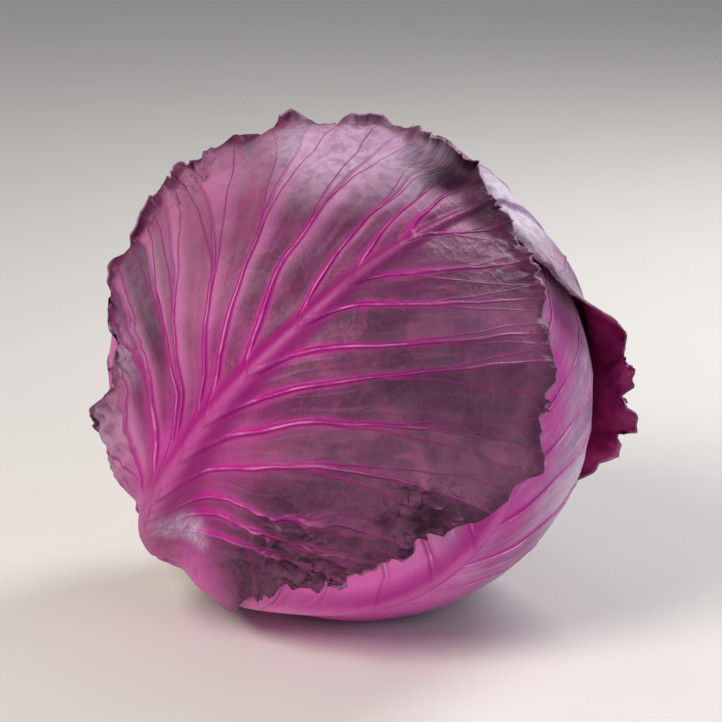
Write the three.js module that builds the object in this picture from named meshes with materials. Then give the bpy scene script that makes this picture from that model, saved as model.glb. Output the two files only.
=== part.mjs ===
// A head of red cabbage: a dense heart, the cut stem it grew on, and five wrapper leaves laid over it one
// after the other. Millimetres, +Z up. The origin is the small flat spot that the head rests on, under the
// heart's centre.
import * as THREE from "three";
import { mergeVertices } from "three/addons/utils/BufferGeometryUtils.js";

const degrees = THREE.MathUtils.degToRad;
const { clamp, smoothstep, lerp } = THREE.MathUtils;

// How the head lies: its stem points down and to the left, its crown up and to the right.
const HEART_HEIGHT = 76; // centre of the heart above the surface
const AXIS_LEAN = degrees(40.8); // from the vertical to the axis through stem and crown
const AXIS_HEADING = degrees(-13.4);
const AXIS_SPIN = degrees(-90);

const HEART_RADIUS = 74.1;
const HEART_BULGE = 5; // how much fuller the heart is on its heavy side
const BULGE_SIDE = new THREE.Vector3(0.1, 0.99, 0.05).normalize();
const CROWN_FLATNESS = 5; // how far the crown is flattened
const CROWN_SPREAD = degrees(42);
const STEM_DIMPLE = 7; // how far the heart is drawn in where the stem leaves it
const DIMPLE_SPREAD = degrees(17);

const BLADE = 0.9; // thickness of a leaf between its ribs
const GAP = 1.05; // air between a leaf and what it lies on
const SIDE_RIB = 0.7; // height of a side rib where it leaves the midrib
const LAYER = BLADE + SIDE_RIB + GAP; // how far one leaf lifts the next
const CLIMB = 13; // distance over which a leaf climbs onto the edge of the one below
const SIDE_RIB_HALF_WIDTH = 2;

const STEM_RADIUS = 16;
const STEM_INNER = 70; // both ends measured from the heart's centre
const STEM_CUT = 81;

const CHART_MIDDLE = degrees(94); // every leaf's chart is centred this far round from the stem
const CHART_RADIUS = 80; // chart millimetres are measured on a ball of this radius
const STEM_POINT = -CHART_RADIUS * CHART_MIDDLE; // the stem's axis in every chart
const LEAF_FOOT = STEM_POINT + STEM_RADIUS + 4.5;
const FOOT_ANGLE = 165; // where a leaf's foot ends beside the stem, in degrees from its tip

// The leaves from the innermost to the outermost. Each one is drawn flat in its own chart: the midrib runs
// up from the stem, and angles are degrees from the tip, below 0 on its left.
//   azimuth where the leaf stands round the stem, in degrees
//   midrib  height of the midrib at its foot
//   bend    how far the lower midrib swings sideways on its way to the stem
//   edge    how far the margin is from the chart's middle, by angle
//   ribs    a row for each pair of side ribs: where they leave the midrib, then for the left and for the
//           right the angle at which they reach the margin and how far they bow towards the tip, as a share
//           of their length
//   flare   a stretch of margin that stands away from the head: its middle and half width in degrees, and
//           its height
//   ruffle  height of the waves along the margin, and waves how many there would be in a full turn
//   columns pieces of blade from the midrib to the margin
const leaves = [
  {
    name: "leaf_back",
    colour: 0x8e3f78,
    azimuth: 206,
    midrib: 4.5,
    bend: 0,
    edge: [
      [-165, 130], [-160, 104], [-140, 86], [-110, 88], [-80, 94], [-40, 100], [0, 106],
      [40, 102], [80, 94], [110, 88], [140, 86], [160, 104], [165, 130],
    ],
    ribs: [
      [-70, -126, 0.25, 126, 0.25], [-48, -102, 0.35, 104, 0.3], [-24, -82, 0.28, 80, 0.3],
      [2, -58, 0.16, 60, 0.2], [30, -36, 0.05, 38, 0.08], [60, -16, -0.04, 15, -0.04],
    ],
    flare: [],
    ruffle: 1.5,
    waves: 15,
    columns: 8,
  },
  {
    name: "leaf_left",
    colour: 0xa84a8c,
    azimuth: 252,
    midrib: 4.5,
    bend: 0,
    edge: [
      [-165, 130], [-160, 100], [-140, 74], [-118, 66], [-90, 70], [-60, 88], [-30, 104], [0, 112],
      [30, 110], [60, 106], [90, 104], [120, 108], [145, 112], [160, 118], [165, 130],
    ],
    ribs: [
      [-70, -128, 0.25, 130, 0.3], [-50, -102, 0.3, 106, 0.34], [-26, -80, 0.24, 82, 0.28],
      [-2, -56, 0.16, 60, 0.18], [26, -34, 0.05, 38, 0.06], [58, -15, -0.04, 16, -0.04],
    ],
    flare: [[-74, 34, 7]],
    ruffle: 2.5,
    waves: 16,
    columns: 8,
  },
  {
    name: "leaf_lower",
    colour: 0xb0559a,
    azimuth: 52,
    midrib: 5,
    bend: -21,
    edge: [
      [-165, 130], [-160, 104], [-145, 84], [-125, 66], [-100, 68], [-75, 80], [-45, 98], [-15, 112],
      [0, 116], [30, 112], [60, 106], [90, 102], [120, 100], [145, 106], [160, 116], [165, 130],
    ],
    ribs: [
      [-72, -124, 0.22, 140, 0.3], [-54, -106, 0.26, 114, 0.36], [-36, -92, 0.26, 96, 0.34],
      [-18, -76, 0.2, 80, 0.32], [0, -60, 0.16, 65, 0.28], [18, -44, 0.1, 50, 0.2],
      [38, -28, 0.04, 34, 0.1], [62, -13, -0.04, 15, 0],
    ],
    flare: [],
    ruffle: 2,
    waves: 16,
    columns: 8,
    carriesHead: true,
  },
  {
    name: "leaf_right",
    colour: 0x9a6a90,
    azimuth: 155,
    midrib: 5,
    bend: 0,
    edge: [
      [-165, 130], [-163, 96], [-158, 70], [-149, 53], [-136, 47], [-118, 47], [-102, 51], [-90, 57],
      [-80, 70], [-70, 84], [-52, 86], [-36, 90], [-26, 120], [-12, 128], [0, 129], [20, 117], [45, 92],
      [70, 76], [95, 68], [120, 66], [140, 72], [160, 100], [165, 130],
    ],
    ribs: [
      [-72, -130, 0.24, 130, 0.22], [-52, -106, 0.3, 106, 0.28], [-32, -90, 0.28, 88, 0.24],
      [-10, -72, 0.2, 70, 0.18], [14, -54, 0.12, 52, 0.1], [38, -38, 0.04, 35, 0.04],
      [66, -21, -0.04, 18, -0.02],
    ],
    flare: [[-56, 36, 7]],
    ruffle: 3,
    waves: 17,
    columns: 8,
  },
  {
    name: "leaf_front",
    colour: 0x7d4468,
    azimuth: -15,
    midrib: 7,
    bend: 4,
    edge: [
      [-165, 130], [-158, 96], [-151, 84], [-144, 61], [-135, 56], [-125, 57], [-118, 67], [-111, 86],
      [-100, 94], [-84, 99], [-66, 107], [-45, 118], [-28, 126], [-14, 123], [0, 111], [12, 107],
      [25, 107], [38, 102], [50, 99], [62, 98], [72, 88], [82, 80], [90, 74], [105, 72], [120, 71],
      [134, 71], [146, 80], [155, 98], [165, 130],
    ],
    ribs: [
      [-74, -128, 0.3, 124, 0.2], [-58, -105, 0.5, 102, 0.26], [-43, -89, 0.42, 85, 0.32],
      [-28, -73, 0.26, 68, 0.24], [-12, -48, 0.14, 50, 0.16], [6, -25, -0.06, 37, 0.1],
      [26, -13, -0.05, 28, 0.08], [46, -8, -0.03, 18, 0.05], [68, -4, 0, 8, 0],
    ],
    flare: [[-150, 12, 4.5], [-110, 16, 3]],
    ruffle: 3,
    waves: 19,
    columns: 10,
  },
];

const HEART_SEAMS = 3; // leaf edges that wind round the heart from the crown
const HEART_SEAM_DEPTH = 1.2;
const HEART_CLEARANCE = 0.6; // more air between the heart and the first leaf
const HEART_LIFT = 4.2; // the pressed underside of the heart above the surface
const HEART_COLOUR = 0xc9a3c4;
const STEM_COLOUR = 0xe4d3c4;

const pose = new THREE.Quaternion().setFromEuler(new THREE.Euler(0, AXIS_LEAN, AXIS_HEADING, "ZYX"));
pose.multiply(new THREE.Quaternion().setFromAxisAngle(new THREE.Vector3(0, 0, 1), AXIS_SPIN));
const down = new THREE.Vector3(0, 0, -1).applyQuaternion(pose.clone().invert());

// The value at a place in a table of [place, value] rows. Between two rows it runs evenly, or eases out of
// one and into the next.
function lookUp(table, place, ease) {
  const next = table.findIndex(([at]) => at >= place);
  if (next <= 0) return table[next < 0 ? table.length - 1 : 0][1];
  const [a, before] = table[next - 1];
  const [b, after] = table[next];
  return lerp(before, after, ease ? smoothstep(place, a, b) : (place - a) / (b - a));
}
const marginAt = (leaf, angle) => lookUp(leaf.edge, angle, true);

// Radius of the heart, before any leaf, towards a unit direction in the head's own frame, where +Z is the
// crown.
function coreRadius(direction) {
  const fromStem = Math.acos(clamp(-direction.z, -1, 1));
  const towards = direction.dot(BULGE_SIDE);
  const fullness = 0.35 * towards + 0.65 * ((1 + towards) / 2) ** 3;
  const dimple = Math.exp(-((fromStem / DIMPLE_SPREAD) ** 2));
  const flatness = Math.exp(-(((Math.PI - fromStem) / CROWN_SPREAD) ** 2));
  return HEART_RADIUS + HEART_BULGE * fullness - STEM_DIMPLE * dimple - CROWN_FLATNESS * flatness;
}

// Shortens a radius so that the point stays at or above a height over the surface that the head rests on.
function keepAbove(direction, radius, height) {
  const fall = direction.dot(down);
  return fall > 0.5 ? Math.min(radius, (HEART_HEIGHT - height) / fall) : radius;
}

// The head rests on a small flat triangle pressed into the leaf that carries it. Outside the triangle the
// pressed part of the leaf rises gently.
const REST_REACH = 24; // from the triangle's middle to its corners
const REST_TURN = 0.35; // towards its first corner
const REST_RISE = 0.05;
function restHeight(direction) {
  const spot = direction.clone().applyQuaternion(pose);
  spot.multiplyScalar(HEART_HEIGHT / Math.max(-spot.z, 0.5)); // where the direction meets the surface
  const beyond = [0.5, 1.5, 2.5].map((side) => {
    const turn = REST_TURN + (side * 2 * Math.PI) / 3;
    return spot.x * Math.cos(turn) + spot.y * Math.sin(turn) - REST_REACH / 2;
  });
  return REST_RISE * Math.max(0, ...beyond);
}

function chartAxes(leaf) {
  const turn = degrees(leaf.azimuth);
  const outward = new THREE.Vector3(Math.cos(turn), Math.sin(turn), 0);
  const crown = new THREE.Vector3(0, 0, 1);
  const mix = (a, b) => outward.clone().multiplyScalar(a).addScaledVector(crown, b);
  const middle = mix(Math.sin(CHART_MIDDLE), -Math.cos(CHART_MIDDLE));
  const up = mix(Math.cos(CHART_MIDDLE), Math.sin(CHART_MIDDLE));
  return { middle, up, across: up.clone().cross(middle) };
}

function chartToDirection(leaf, [p, q]) {
  const { middle, up, across } = leaf.axes;
  const length = Math.hypot(p, q);
  if (length < 1e-9) return middle.clone();
  const arc = length / CHART_RADIUS;
  return middle
    .clone()
    .multiplyScalar(Math.cos(arc))
    .addScaledVector(across, (Math.sin(arc) * p) / length)
    .addScaledVector(up, (Math.sin(arc) * q) / length);
}

function directionToChart(leaf, direction) {
  const { middle, up, across } = leaf.axes;
  const p = direction.dot(across);
  const q = direction.dot(up);
  const reach = CHART_RADIUS * Math.acos(clamp(direction.dot(middle), -1, 1));
  const scale = reach / Math.max(Math.hypot(p, q), 1e-9);
  return [p * scale, q * scale];
}

const angleOf = ([p, q]) => THREE.MathUtils.radToDeg(Math.atan2(p, q));

// How far a point lies outside a leaf's margin, judged along a few directions beside the point's own.
const LOOK_ASIDE = [-18, -12, -6, 0, 6, 12, 18];
function distanceOutside(leaf, point) {
  const reach = Math.hypot(...point);
  const angle = angleOf(point);
  const distances = LOOK_ASIDE.map((turn) => {
    const beyond = Math.max(0, reach - marginAt(leaf, angle + turn));
    const aside = degrees(turn) * CHART_RADIUS * Math.sin(reach / CHART_RADIUS);
    return Math.hypot(beyond, aside);
  });
  return Math.min(...distances);
}

// 1 where the leaf lies and just outside it, falling to 0 over the given distance.
const RIM_WIDTH = 2;
function coverage(leaf, point, fade) {
  return 1 - smoothstep(distanceOutside(leaf, point), RIM_WIDTH, RIM_WIDTH + fade);
}

// The midrib: where it runs, how high it stands and how wide it is, all by its distance along the chart.
const MIDRIB_TIP_HEIGHT = 0.5;
const MIDRIB_FOOT_HALF_WIDTH = 18;
const MIDRIB_TIP_HALF_WIDTH = 2.5;
const BEND_PLACE = -72;
const BEND_SPREAD = 34;
function midribAt(leaf, q) {
  const share = clamp((q - LEAF_FOOT) / (leaf.tip - LEAF_FOOT), 0, 1);
  return {
    across: leaf.bend * Math.exp(-(((q - BEND_PLACE) / BEND_SPREAD) ** 2)),
    height: lerp(leaf.midrib, MIDRIB_TIP_HEIGHT, share ** 0.7),
    halfWidth: lerp(MIDRIB_FOOT_HALF_WIDTH, MIDRIB_TIP_HALF_WIDTH, share ** 0.6),
  };
}

function midribRelief(leaf, [p, q]) {
  const { across, height, halfWidth } = midribAt(leaf, q);
  return height * 0.5 * (1 + Math.cos(Math.PI * Math.min(1, Math.abs(p - across) / halfWidth)));
}

// A leaf that lies over the midrib bridges it in a wider bump.
function midribBridge(leaf, [p, q]) {
  const { across, height, halfWidth } = midribAt(leaf, q);
  return height * (1 - smoothstep(Math.abs(p - across) / halfWidth, 0.7, 2.4));
}

// How far the underside of a leaf is lifted off the heart by the leaves that lie under it.
function undersideLift(order, direction) {
  let lift = GAP;
  for (const below of leaves.slice(0, order)) {
    const point = directionToChart(below, direction);
    lift += coverage(below, point, CLIMB) * (LAYER + midribBridge(below, point));
  }
  return lift;
}

// 1 where no later leaf lies on this one or close to it, so that its margin is free to stand out.
const FREE_DISTANCE = 16;
function freedom(order, direction) {
  let free = 1;
  for (const above of leaves.slice(order + 1)) {
    free *= 1 - coverage(above, directionToChart(above, direction), FREE_DISTANCE);
  }
  return free;
}

const MARGIN_START = 0.7; // share of the way from midrib to margin where ruffles begin
const FLARE_START = 0.5;
const CLASP = 25; // within this many degrees of the foot the margin clasps the head
function marginLift(leaf, share, angle) {
  const turn = degrees(angle);
  const wave = 0.5 + 0.5 * Math.sin(leaf.waves * turn + 0.7 * Math.sin(5 * turn));
  const loose = smoothstep(FOOT_ANGLE - Math.abs(angle), 0, CLASP);
  let lift = leaf.ruffle * wave * loose * smoothstep(share, MARGIN_START, 1);
  for (const [middle, halfWidth, height] of leaf.flare) {
    const along = Math.max(0, 1 - Math.abs(angle - middle) / halfWidth);
    lift += height * smoothstep(along, 0, 0.6) * smoothstep(share, FLARE_START, 1) ** 1.4;
  }
  return lift;
}

// A point of the leaf's flat chart: level runs from the foot to the tip, and share from the midrib to the
// margin, along a curve that a side rib would follow.
const SCALLOP = 1.2; // half the depth of the margin's shallow notches
function chartPoint(leaf, side, level, share) {
  const q = lerp(LEAF_FOOT, leaf.tip, level);
  const from = [midribAt(leaf, q).across, q];
  const { angles, bows } = side < 0 ? leaf.left : leaf.right;
  const angle = lookUp(angles, level, false);
  const bow = side * lookUp(bows, level, false);
  const turn = degrees(angle);
  const reach = marginAt(leaf, angle) + SCALLOP * Math.sin(2.3 * leaf.waves * turn);
  const to = [reach * Math.sin(turn), reach * Math.cos(turn)];
  const chord = [to[0] - from[0], to[1] - from[1]];
  const control = [
    from[0] + chord[0] / 2 - bow * chord[1],
    from[1] + chord[1] / 2 + bow * chord[0],
  ];
  const [a, b, c] = [(1 - share) ** 2, 2 * share * (1 - share), share ** 2];
  return { point: [0, 1].map((i) => a * from[i] + b * control[i] + c * to[i]), angle };
}

// Each leaf's chart, and for either side of the midrib the tables of where a curve ends and how it bows.
const FOOT_BOW = 0.32; // the foot curves round the stem
const FOOT_EASE = 2.4; // the blade widens slowly at first as it leaves the foot
const TIP_ANGLE = 2;
function prepare(leaf) {
  leaf.axes = chartAxes(leaf);
  leaf.tip = marginAt(leaf, 0);
  leaf.levels = leaf.ribs.map(([root]) => (root - LEAF_FOOT) / (leaf.tip - LEAF_FOOT));
  const table = (column, foot, tip) => {
    const first = leaf.ribs[0][column];
    const widening = [0, 0.2, 0.35, 0.5, 0.65, 0.8].map((part) => [
      part * leaf.levels[0],
      lerp(foot, first, part ** FOOT_EASE),
    ]);
    return [...widening, ...leaf.ribs.map((row, i) => [leaf.levels[i], row[column]]), [1, tip]];
  };
  leaf.left = { angles: table(1, -FOOT_ANGLE, -TIP_ANGLE), bows: table(2, FOOT_BOW, 0) };
  leaf.right = { angles: table(3, FOOT_ANGLE, TIP_ANGLE), bows: table(4, FOOT_BOW, 0) };
}
leaves.forEach(prepare);

// The levels of the blade's rows, each with the share of a side rib's height on it: a crest with a row at
// each foot of every rib, and rows in the hollow between two ribs.
const HOLLOW_STEP = 8.5;
const FOOT_STEP = 4.7;
function bladeRows(leaf) {
  const length = leaf.tip - LEAF_FOOT;
  const halfRib = SIDE_RIB_HALF_WIDTH / length;
  const rows = [];
  const addHollow = (from, to, step) => {
    const pieces = Math.max(1, Math.round(((to - from) * length) / step));
    for (let i = 0; i <= pieces; i++) rows.push({ level: lerp(from, to, i / pieces), crest: 0 });
  };
  leaf.levels.forEach((level, i) => {
    if (i) addHollow(leaf.levels[i - 1] + halfRib, level - halfRib, HOLLOW_STEP);
    else addHollow(0, level - halfRib, FOOT_STEP);
    rows.push({ level, crest: 1 });
  });
  addHollow(leaf.levels.at(-1) + halfRib, 1, HOLLOW_STEP);
  return rows;
}

// A closed solid from two faces with the same rows and columns of points: both faces, and a rim between.
function sheetGeometry(outer, inner, rows, columns) {
  const index = [];
  const quad = (a, b, c, d) => index.push(a, b, c, a, c, d);
  const under = outer.length;
  for (let row = 0; row + 1 < rows; row++) {
    for (let column = 0; column + 1 < columns; column++) {
      const a = row * columns + column;
      const [b, c, d] = [a + 1, a + columns + 1, a + columns];
      quad(a, b, c, d);
      index.push(a + under, c + under, b + under, a + under, d + under, c + under);
    }
  }
  const rim = [];
  for (let column = 0; column + 1 < columns; column++) rim.push(column);
  for (let row = 0; row + 1 < rows; row++) rim.push(row * columns + columns - 1);
  for (let column = columns - 1; column > 0; column--) rim.push((rows - 1) * columns + column);
  for (let row = rows - 1; row > 0; row--) rim.push(row * columns);
  rim.forEach((a, i) => {
    const b = rim[(i + 1) % rim.length];
    quad(b, a, a + under, b + under);
  });
  const points = [...outer, ...inner].flatMap((v) => v.toArray());
  const geometry = new THREE.BufferGeometry();
  geometry.setAttribute("position", new THREE.Float32BufferAttribute(points, 3));
  geometry.setIndex(index);
  return geometry;
}

const FLOOR_CLEARANCE = 1.6; // of every leaf but the one that carries the head
const COLUMN_CROWDING = 1.05; // columns stand closer together near the midrib
function leafGeometry(leaf, order) {
  const rows = bladeRows(leaf);
  const outer = [];
  const inner = [];
  for (const { level, crest } of rows) {
    for (let column = -leaf.columns; column <= leaf.columns; column++) {
      const side = column < 0 ? -1 : 1;
      const share = (Math.abs(column) / leaf.columns) ** COLUMN_CROWDING;
      const { point, angle } = chartPoint(leaf, side, level, share);
      const direction = chartToDirection(leaf, point);
      const floor = leaf.carriesHead ? restHeight(direction) : FLOOR_CLEARANCE;
      const lying = coreRadius(direction) + undersideLift(order, direction);
      const underside = lying + marginLift(leaf, share, angle) * freedom(order, direction);
      const rib = Math.max(midribRelief(leaf, point), crest * SIDE_RIB * (1 - 0.6 * share));
      const top = keepAbove(direction, underside + BLADE + rib, floor);
      outer.push(direction.clone().multiplyScalar(top));
      inner.push(direction.clone().multiplyScalar(keepAbove(direction, underside, floor + BLADE)));
    }
  }
  return sheetGeometry(outer, inner, rows.length, 2 * leaf.columns + 1);
}

// The dense heart: a ball drawn in at the stem and pressed flat underneath, with the edges of its own tight
// leaves winding down from the crown as low steps.
function heartGeometry() {
  const ball = new THREE.SphereGeometry(1, 36, 22).rotateX(Math.PI / 2);
  ball.deleteAttribute("normal");
  ball.deleteAttribute("uv");
  const geometry = mergeVertices(ball, 1e-4);
  const positions = geometry.getAttribute("position");
  const direction = new THREE.Vector3();
  for (let i = 0; i < positions.count; i++) {
    direction.fromBufferAttribute(positions, i).normalize();
    const turn = Math.atan2(direction.y, direction.x) / (2 * Math.PI);
    const fromCrown = Math.acos(clamp(direction.z, -1, 1)) / Math.PI; // 0 at the crown, 1 at the stem
    const winding = (turn + 0.5 + 0.35 * fromCrown) * HEART_SEAMS;
    const belt = Math.sin(fromCrown * Math.PI);
    const sunk = HEART_SEAM_DEPTH * belt * (winding - Math.floor(winding));
    const rounded = coreRadius(direction) - HEART_CLEARANCE - sunk;
    const radius = keepAbove(direction, rounded, HEART_LIFT);
    positions.setXYZ(i, ...direction.multiplyScalar(radius).toArray());
  }
  return geometry;
}

// The stem's cut end: a short butt with a slightly rounded shoulder, standing out of the heart's dimple.
const STEM_SHOULDER = 2;
function stemGeometry() {
  const profile = [
    [0, STEM_INNER],
    [STEM_RADIUS, STEM_INNER],
    [STEM_RADIUS, STEM_CUT - STEM_SHOULDER],
    [STEM_RADIUS - 0.3 * STEM_SHOULDER, STEM_CUT - 0.3 * STEM_SHOULDER],
    [STEM_RADIUS - STEM_SHOULDER, STEM_CUT],
    [0, STEM_CUT],
  ].map(([radius, along]) => new THREE.Vector2(radius, along));
  return new THREE.LatheGeometry(profile, 32).rotateX(-Math.PI / 2);
}

function piece(name, geometry, colour, roughness) {
  const material = new THREE.MeshStandardMaterial({ color: colour, roughness, metalness: 0 });
  const mesh = new THREE.Mesh(geometry, material);
  mesh.name = name;
  return mesh;
}

const head = new THREE.Group();
head.position.z = HEART_HEIGHT;
head.quaternion.copy(pose);
head.add(piece("heart", heartGeometry(), HEART_COLOUR, 0.5));
head.add(piece("stem", stemGeometry(), STEM_COLOUR, 0.8));
leaves.forEach((leaf, order) => head.add(piece(leaf.name, leafGeometry(leaf, order), leaf.colour, 0.45)));

const cabbage = new THREE.Group();
cabbage.add(head);

export default cabbage;
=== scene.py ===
# A head of red cabbage lying on its side: a dense heart, the cut stem and five wrapper leaves.
# Leaf shapes are worked out in millimetres in the head's own frame, with +Z towards the crown, and only then
# laid down and written into each mesh in metres.
import math
from functools import partial

import bmesh
import bpy
import numpy as np
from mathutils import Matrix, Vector


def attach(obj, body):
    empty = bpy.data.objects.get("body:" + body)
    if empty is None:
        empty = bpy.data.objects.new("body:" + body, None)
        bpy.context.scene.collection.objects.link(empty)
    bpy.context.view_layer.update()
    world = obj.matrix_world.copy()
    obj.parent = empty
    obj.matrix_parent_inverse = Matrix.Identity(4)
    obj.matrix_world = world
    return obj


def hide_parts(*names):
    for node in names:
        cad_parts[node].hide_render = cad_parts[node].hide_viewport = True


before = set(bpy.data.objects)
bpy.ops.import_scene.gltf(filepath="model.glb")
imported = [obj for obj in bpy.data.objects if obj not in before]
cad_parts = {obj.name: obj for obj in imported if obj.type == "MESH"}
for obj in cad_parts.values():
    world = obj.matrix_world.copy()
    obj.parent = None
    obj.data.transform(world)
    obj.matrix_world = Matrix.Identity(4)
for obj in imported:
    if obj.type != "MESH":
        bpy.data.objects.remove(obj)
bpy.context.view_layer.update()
print("frame loaded:", ", ".join(sorted(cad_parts)))

mm = 0.001

head = {
    "height": 76.0,  # centre of the heart above the floor
    "lean": 40.8,  # degrees from the vertical to the axis through stem and crown
    "heading": -13.4,
    "spin": -90.0,
    "radius": 74.1,
    "bulge": 5.0,  # fuller on its heavy side
    "bulgeSide": (0.1, 0.99, 0.05),
    "crownFlatness": 5.0,
    "crownSpread": 42.0,
    "dimple": 7.0,  # drawn in round the stem
    "dimpleSpread": 17.0,
}

wrap = {
    "blade": 0.9,  # thickness between the ribs
    "gap": 1.05,  # air under each leaf
    "layer": 2.65,  # how far one leaf lifts the next
    "climb": 13.0,  # distance over which a leaf climbs onto the edge of another
    "planeMiddle": 94.0,  # each leaf's flat plane touches the ball this many degrees from the stem
    "planeRadius": 80.0,
    "footAngle": 165.0,
    "footBow": 0.32,  # how the curves at a leaf's foot bow, and how they ease into those of the first ribs
    "footEase": 2.4,
    "tipAngle": 2.0,
    "clearFloor": 1.6,
}
stemRadius = 16.0
leafFoot = -wrap["planeRadius"] * math.radians(wrap["planeMiddle"]) + stemRadius + 4.5


def turnAbout(axis, degrees):
    c, s = math.cos(math.radians(degrees)), math.sin(math.radians(degrees))
    if axis == "z":
        return np.array([[c, -s, 0], [s, c, 0], [0, 0, 1]])
    return np.array([[c, 0, s], [0, 1, 0], [-s, 0, c]])


laidDown = turnAbout("z", head["heading"]) @ turnAbout("y", head["lean"]) @ turnAbout("z", head["spin"])
towardsFloor = laidDown.T @ np.array([0, 0, -1.0])


def ease(value, low, high):
    t = np.clip((value - low) / (high - low), 0, 1)
    return t * t * (3 - 2 * t)


def mix(a, b, share):
    return a + (b - a) * share


def lookUp(table, place):
    # the value at a place in a table of (place, value) rows, easing from one row to the next
    at, values = (np.array(column, float) for column in zip(*table))
    i = np.clip(np.searchsorted(at, place) - 1, 0, len(at) - 2)
    return mix(values[i], values[i + 1], ease(place, at[i], at[i + 1]))


def smoothNoise(x, y, seed):
    # soft random hills between -1 and 1, one to every unit square, repeating after 64
    hills = np.random.default_rng(seed).uniform(-1, 1, (64, 64))
    ix, iy = np.floor(x).astype(int), np.floor(y).astype(int)
    fx, fy = ease(x - ix, 0, 1), ease(y - iy, 0, 1)
    ix, iy = ix % 64, iy % 64
    jx, jy = (ix + 1) % 64, (iy + 1) % 64
    near = mix(hills[ix, iy], hills[jx, iy], fx)
    far = mix(hills[ix, jy], hills[jx, jy], fx)
    return mix(near, far, fy)


def planeNoise(points, across, along, seed):
    return smoothNoise(points[..., 0] / across + 20, points[..., 1] / along + 20, seed)


def coreRadius(direction):
    fromStem = np.arccos(np.clip(-direction[..., 2], -1, 1))
    side = np.array(head["bulgeSide"])
    towards = direction @ (side / np.linalg.norm(side))
    fullness = 0.35 * towards + 0.65 * ((1 + towards) / 2) ** 3
    dimple = np.exp(-((fromStem / math.radians(head["dimpleSpread"])) ** 2))
    flatness = np.exp(-(((math.pi - fromStem) / math.radians(head["crownSpread"])) ** 2))
    drawnIn = head["dimple"] * dimple + head["crownFlatness"] * flatness
    return head["radius"] + head["bulge"] * fullness - drawnIn


def keepAbove(direction, radius, height):
    # shortens a radius so that the point stays above the floor by a height
    fall = direction @ towardsFloor
    return np.where(fall > 0.5, np.minimum(radius, (head["height"] - height) / np.maximum(fall, 0.5)), radius)


def laid(points):
    # from the head's frame in millimetres to the row frame in metres
    return (points @ laidDown.T + np.array([0, 0, head["height"]])) * mm


def planeAxes(leaf):
    turn, middle = math.radians(leaf["azimuth"]), math.radians(wrap["planeMiddle"])
    outward = np.array([math.cos(turn), math.sin(turn), 0])
    crown = np.array([0, 0, 1.0])
    centre = outward * math.sin(middle) - crown * math.cos(middle)
    up = outward * math.cos(middle) + crown * math.sin(middle)
    return centre, up, np.cross(up, centre)


def distanceTo(points, p, q):
    return np.hypot(points[..., 0] - p, points[..., 1] - q)


def toDirection(leaf, points):
    centre, up, across = leaf["axes"]
    length = distanceTo(points, 0, 0)
    arc = length / wrap["planeRadius"]
    scale = np.sin(arc) / np.maximum(length, 1e-9)
    sideways = (scale * points[..., 0])[..., None] * across
    return np.cos(arc)[..., None] * centre + sideways + (scale * points[..., 1])[..., None] * up


def toPlane(leaf, direction):
    centre, up, across = leaf["axes"]
    p, q = direction @ across, direction @ up
    reach = wrap["planeRadius"] * np.arccos(np.clip(direction @ centre, -1, 1))
    scale = reach / np.maximum(np.hypot(p, q), 1e-9)
    return np.stack([p * scale, q * scale], -1)


def angleOf(points):
    return np.degrees(np.arctan2(points[..., 0], points[..., 1]))


def marginAt(leaf, angle):
    return lookUp(leaf["edge"], angle)


def coverage(leaf, points, fade):
    # 1 where the leaf lies and just outside it, falling to 0 over the given distance
    reach, angle = distanceTo(points, 0, 0), angleOf(points)
    outside = np.full(reach.shape, 1e9)
    for turn in (-18, -12, -6, 0, 6, 12, 18):
        beyond = np.maximum(0, reach - marginAt(leaf, angle + turn))
        aside = math.radians(turn) * wrap["planeRadius"] * np.sin(reach / wrap["planeRadius"])
        outside = np.minimum(outside, np.hypot(beyond, aside))
    return 1 - ease(outside, 2, 2 + fade)


midrib = {
    "footHalf": 18.0,  # half width of its broad swelling
    "tipHalf": 2.5,
    "tipHeight": 0.5,
    "bendMiddle": -72.0,  # where on the flat leaf it bends aside, and over what length
    "bendLength": 34.0,
}


def alongMidrib(leaf, q):
    return np.clip((q - leafFoot) / (leaf["tip"] - leafFoot), 0, 1)


def midribAt(leaf, q):
    # where the midrib runs, how high it stands and its half width
    share = alongMidrib(leaf, q)
    across = leaf["bend"] * np.exp(-(((q - midrib["bendMiddle"]) / midrib["bendLength"]) ** 2))
    height = mix(leaf["midrib"], midrib["tipHeight"], share**0.7)
    return across, height, mix(midrib["footHalf"], midrib["tipHalf"], share**0.6)


def midribRelief(leaf, points):
    across, height, halfWidth = midribAt(leaf, points[..., 1])
    aside = np.abs(points[..., 0] - across) / halfWidth
    return height * 0.5 * (1 + np.cos(math.pi * np.minimum(1, aside)))


def underLift(order, direction):
    # how far the leaves that lie below lift this one off the heart
    lift = np.full(direction.shape[:-1], wrap["gap"])
    for below in leaves[:order]:
        points = toPlane(below, direction)
        across, height, halfWidth = midribAt(below, points[..., 1])
        bridge = height * (1 - ease(np.abs(points[..., 0] - across) / halfWidth, 0.7, 2.4))
        lift = lift + coverage(below, points, wrap["climb"]) * (wrap["layer"] + bridge)
    return lift


def freedom(order, direction):
    # 1 where no later leaf lies on this one or close to it
    free = np.ones(direction.shape[:-1])
    for above in leaves[order + 1 :]:
        free = free * (1 - coverage(above, toPlane(above, direction), 16))
    return free


def pairs(rows):
    # rows of side ribs whose left and right ones leave the midrib together
    return [(*row[:3], row[0], *row[3:]) for row in rows]


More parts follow.
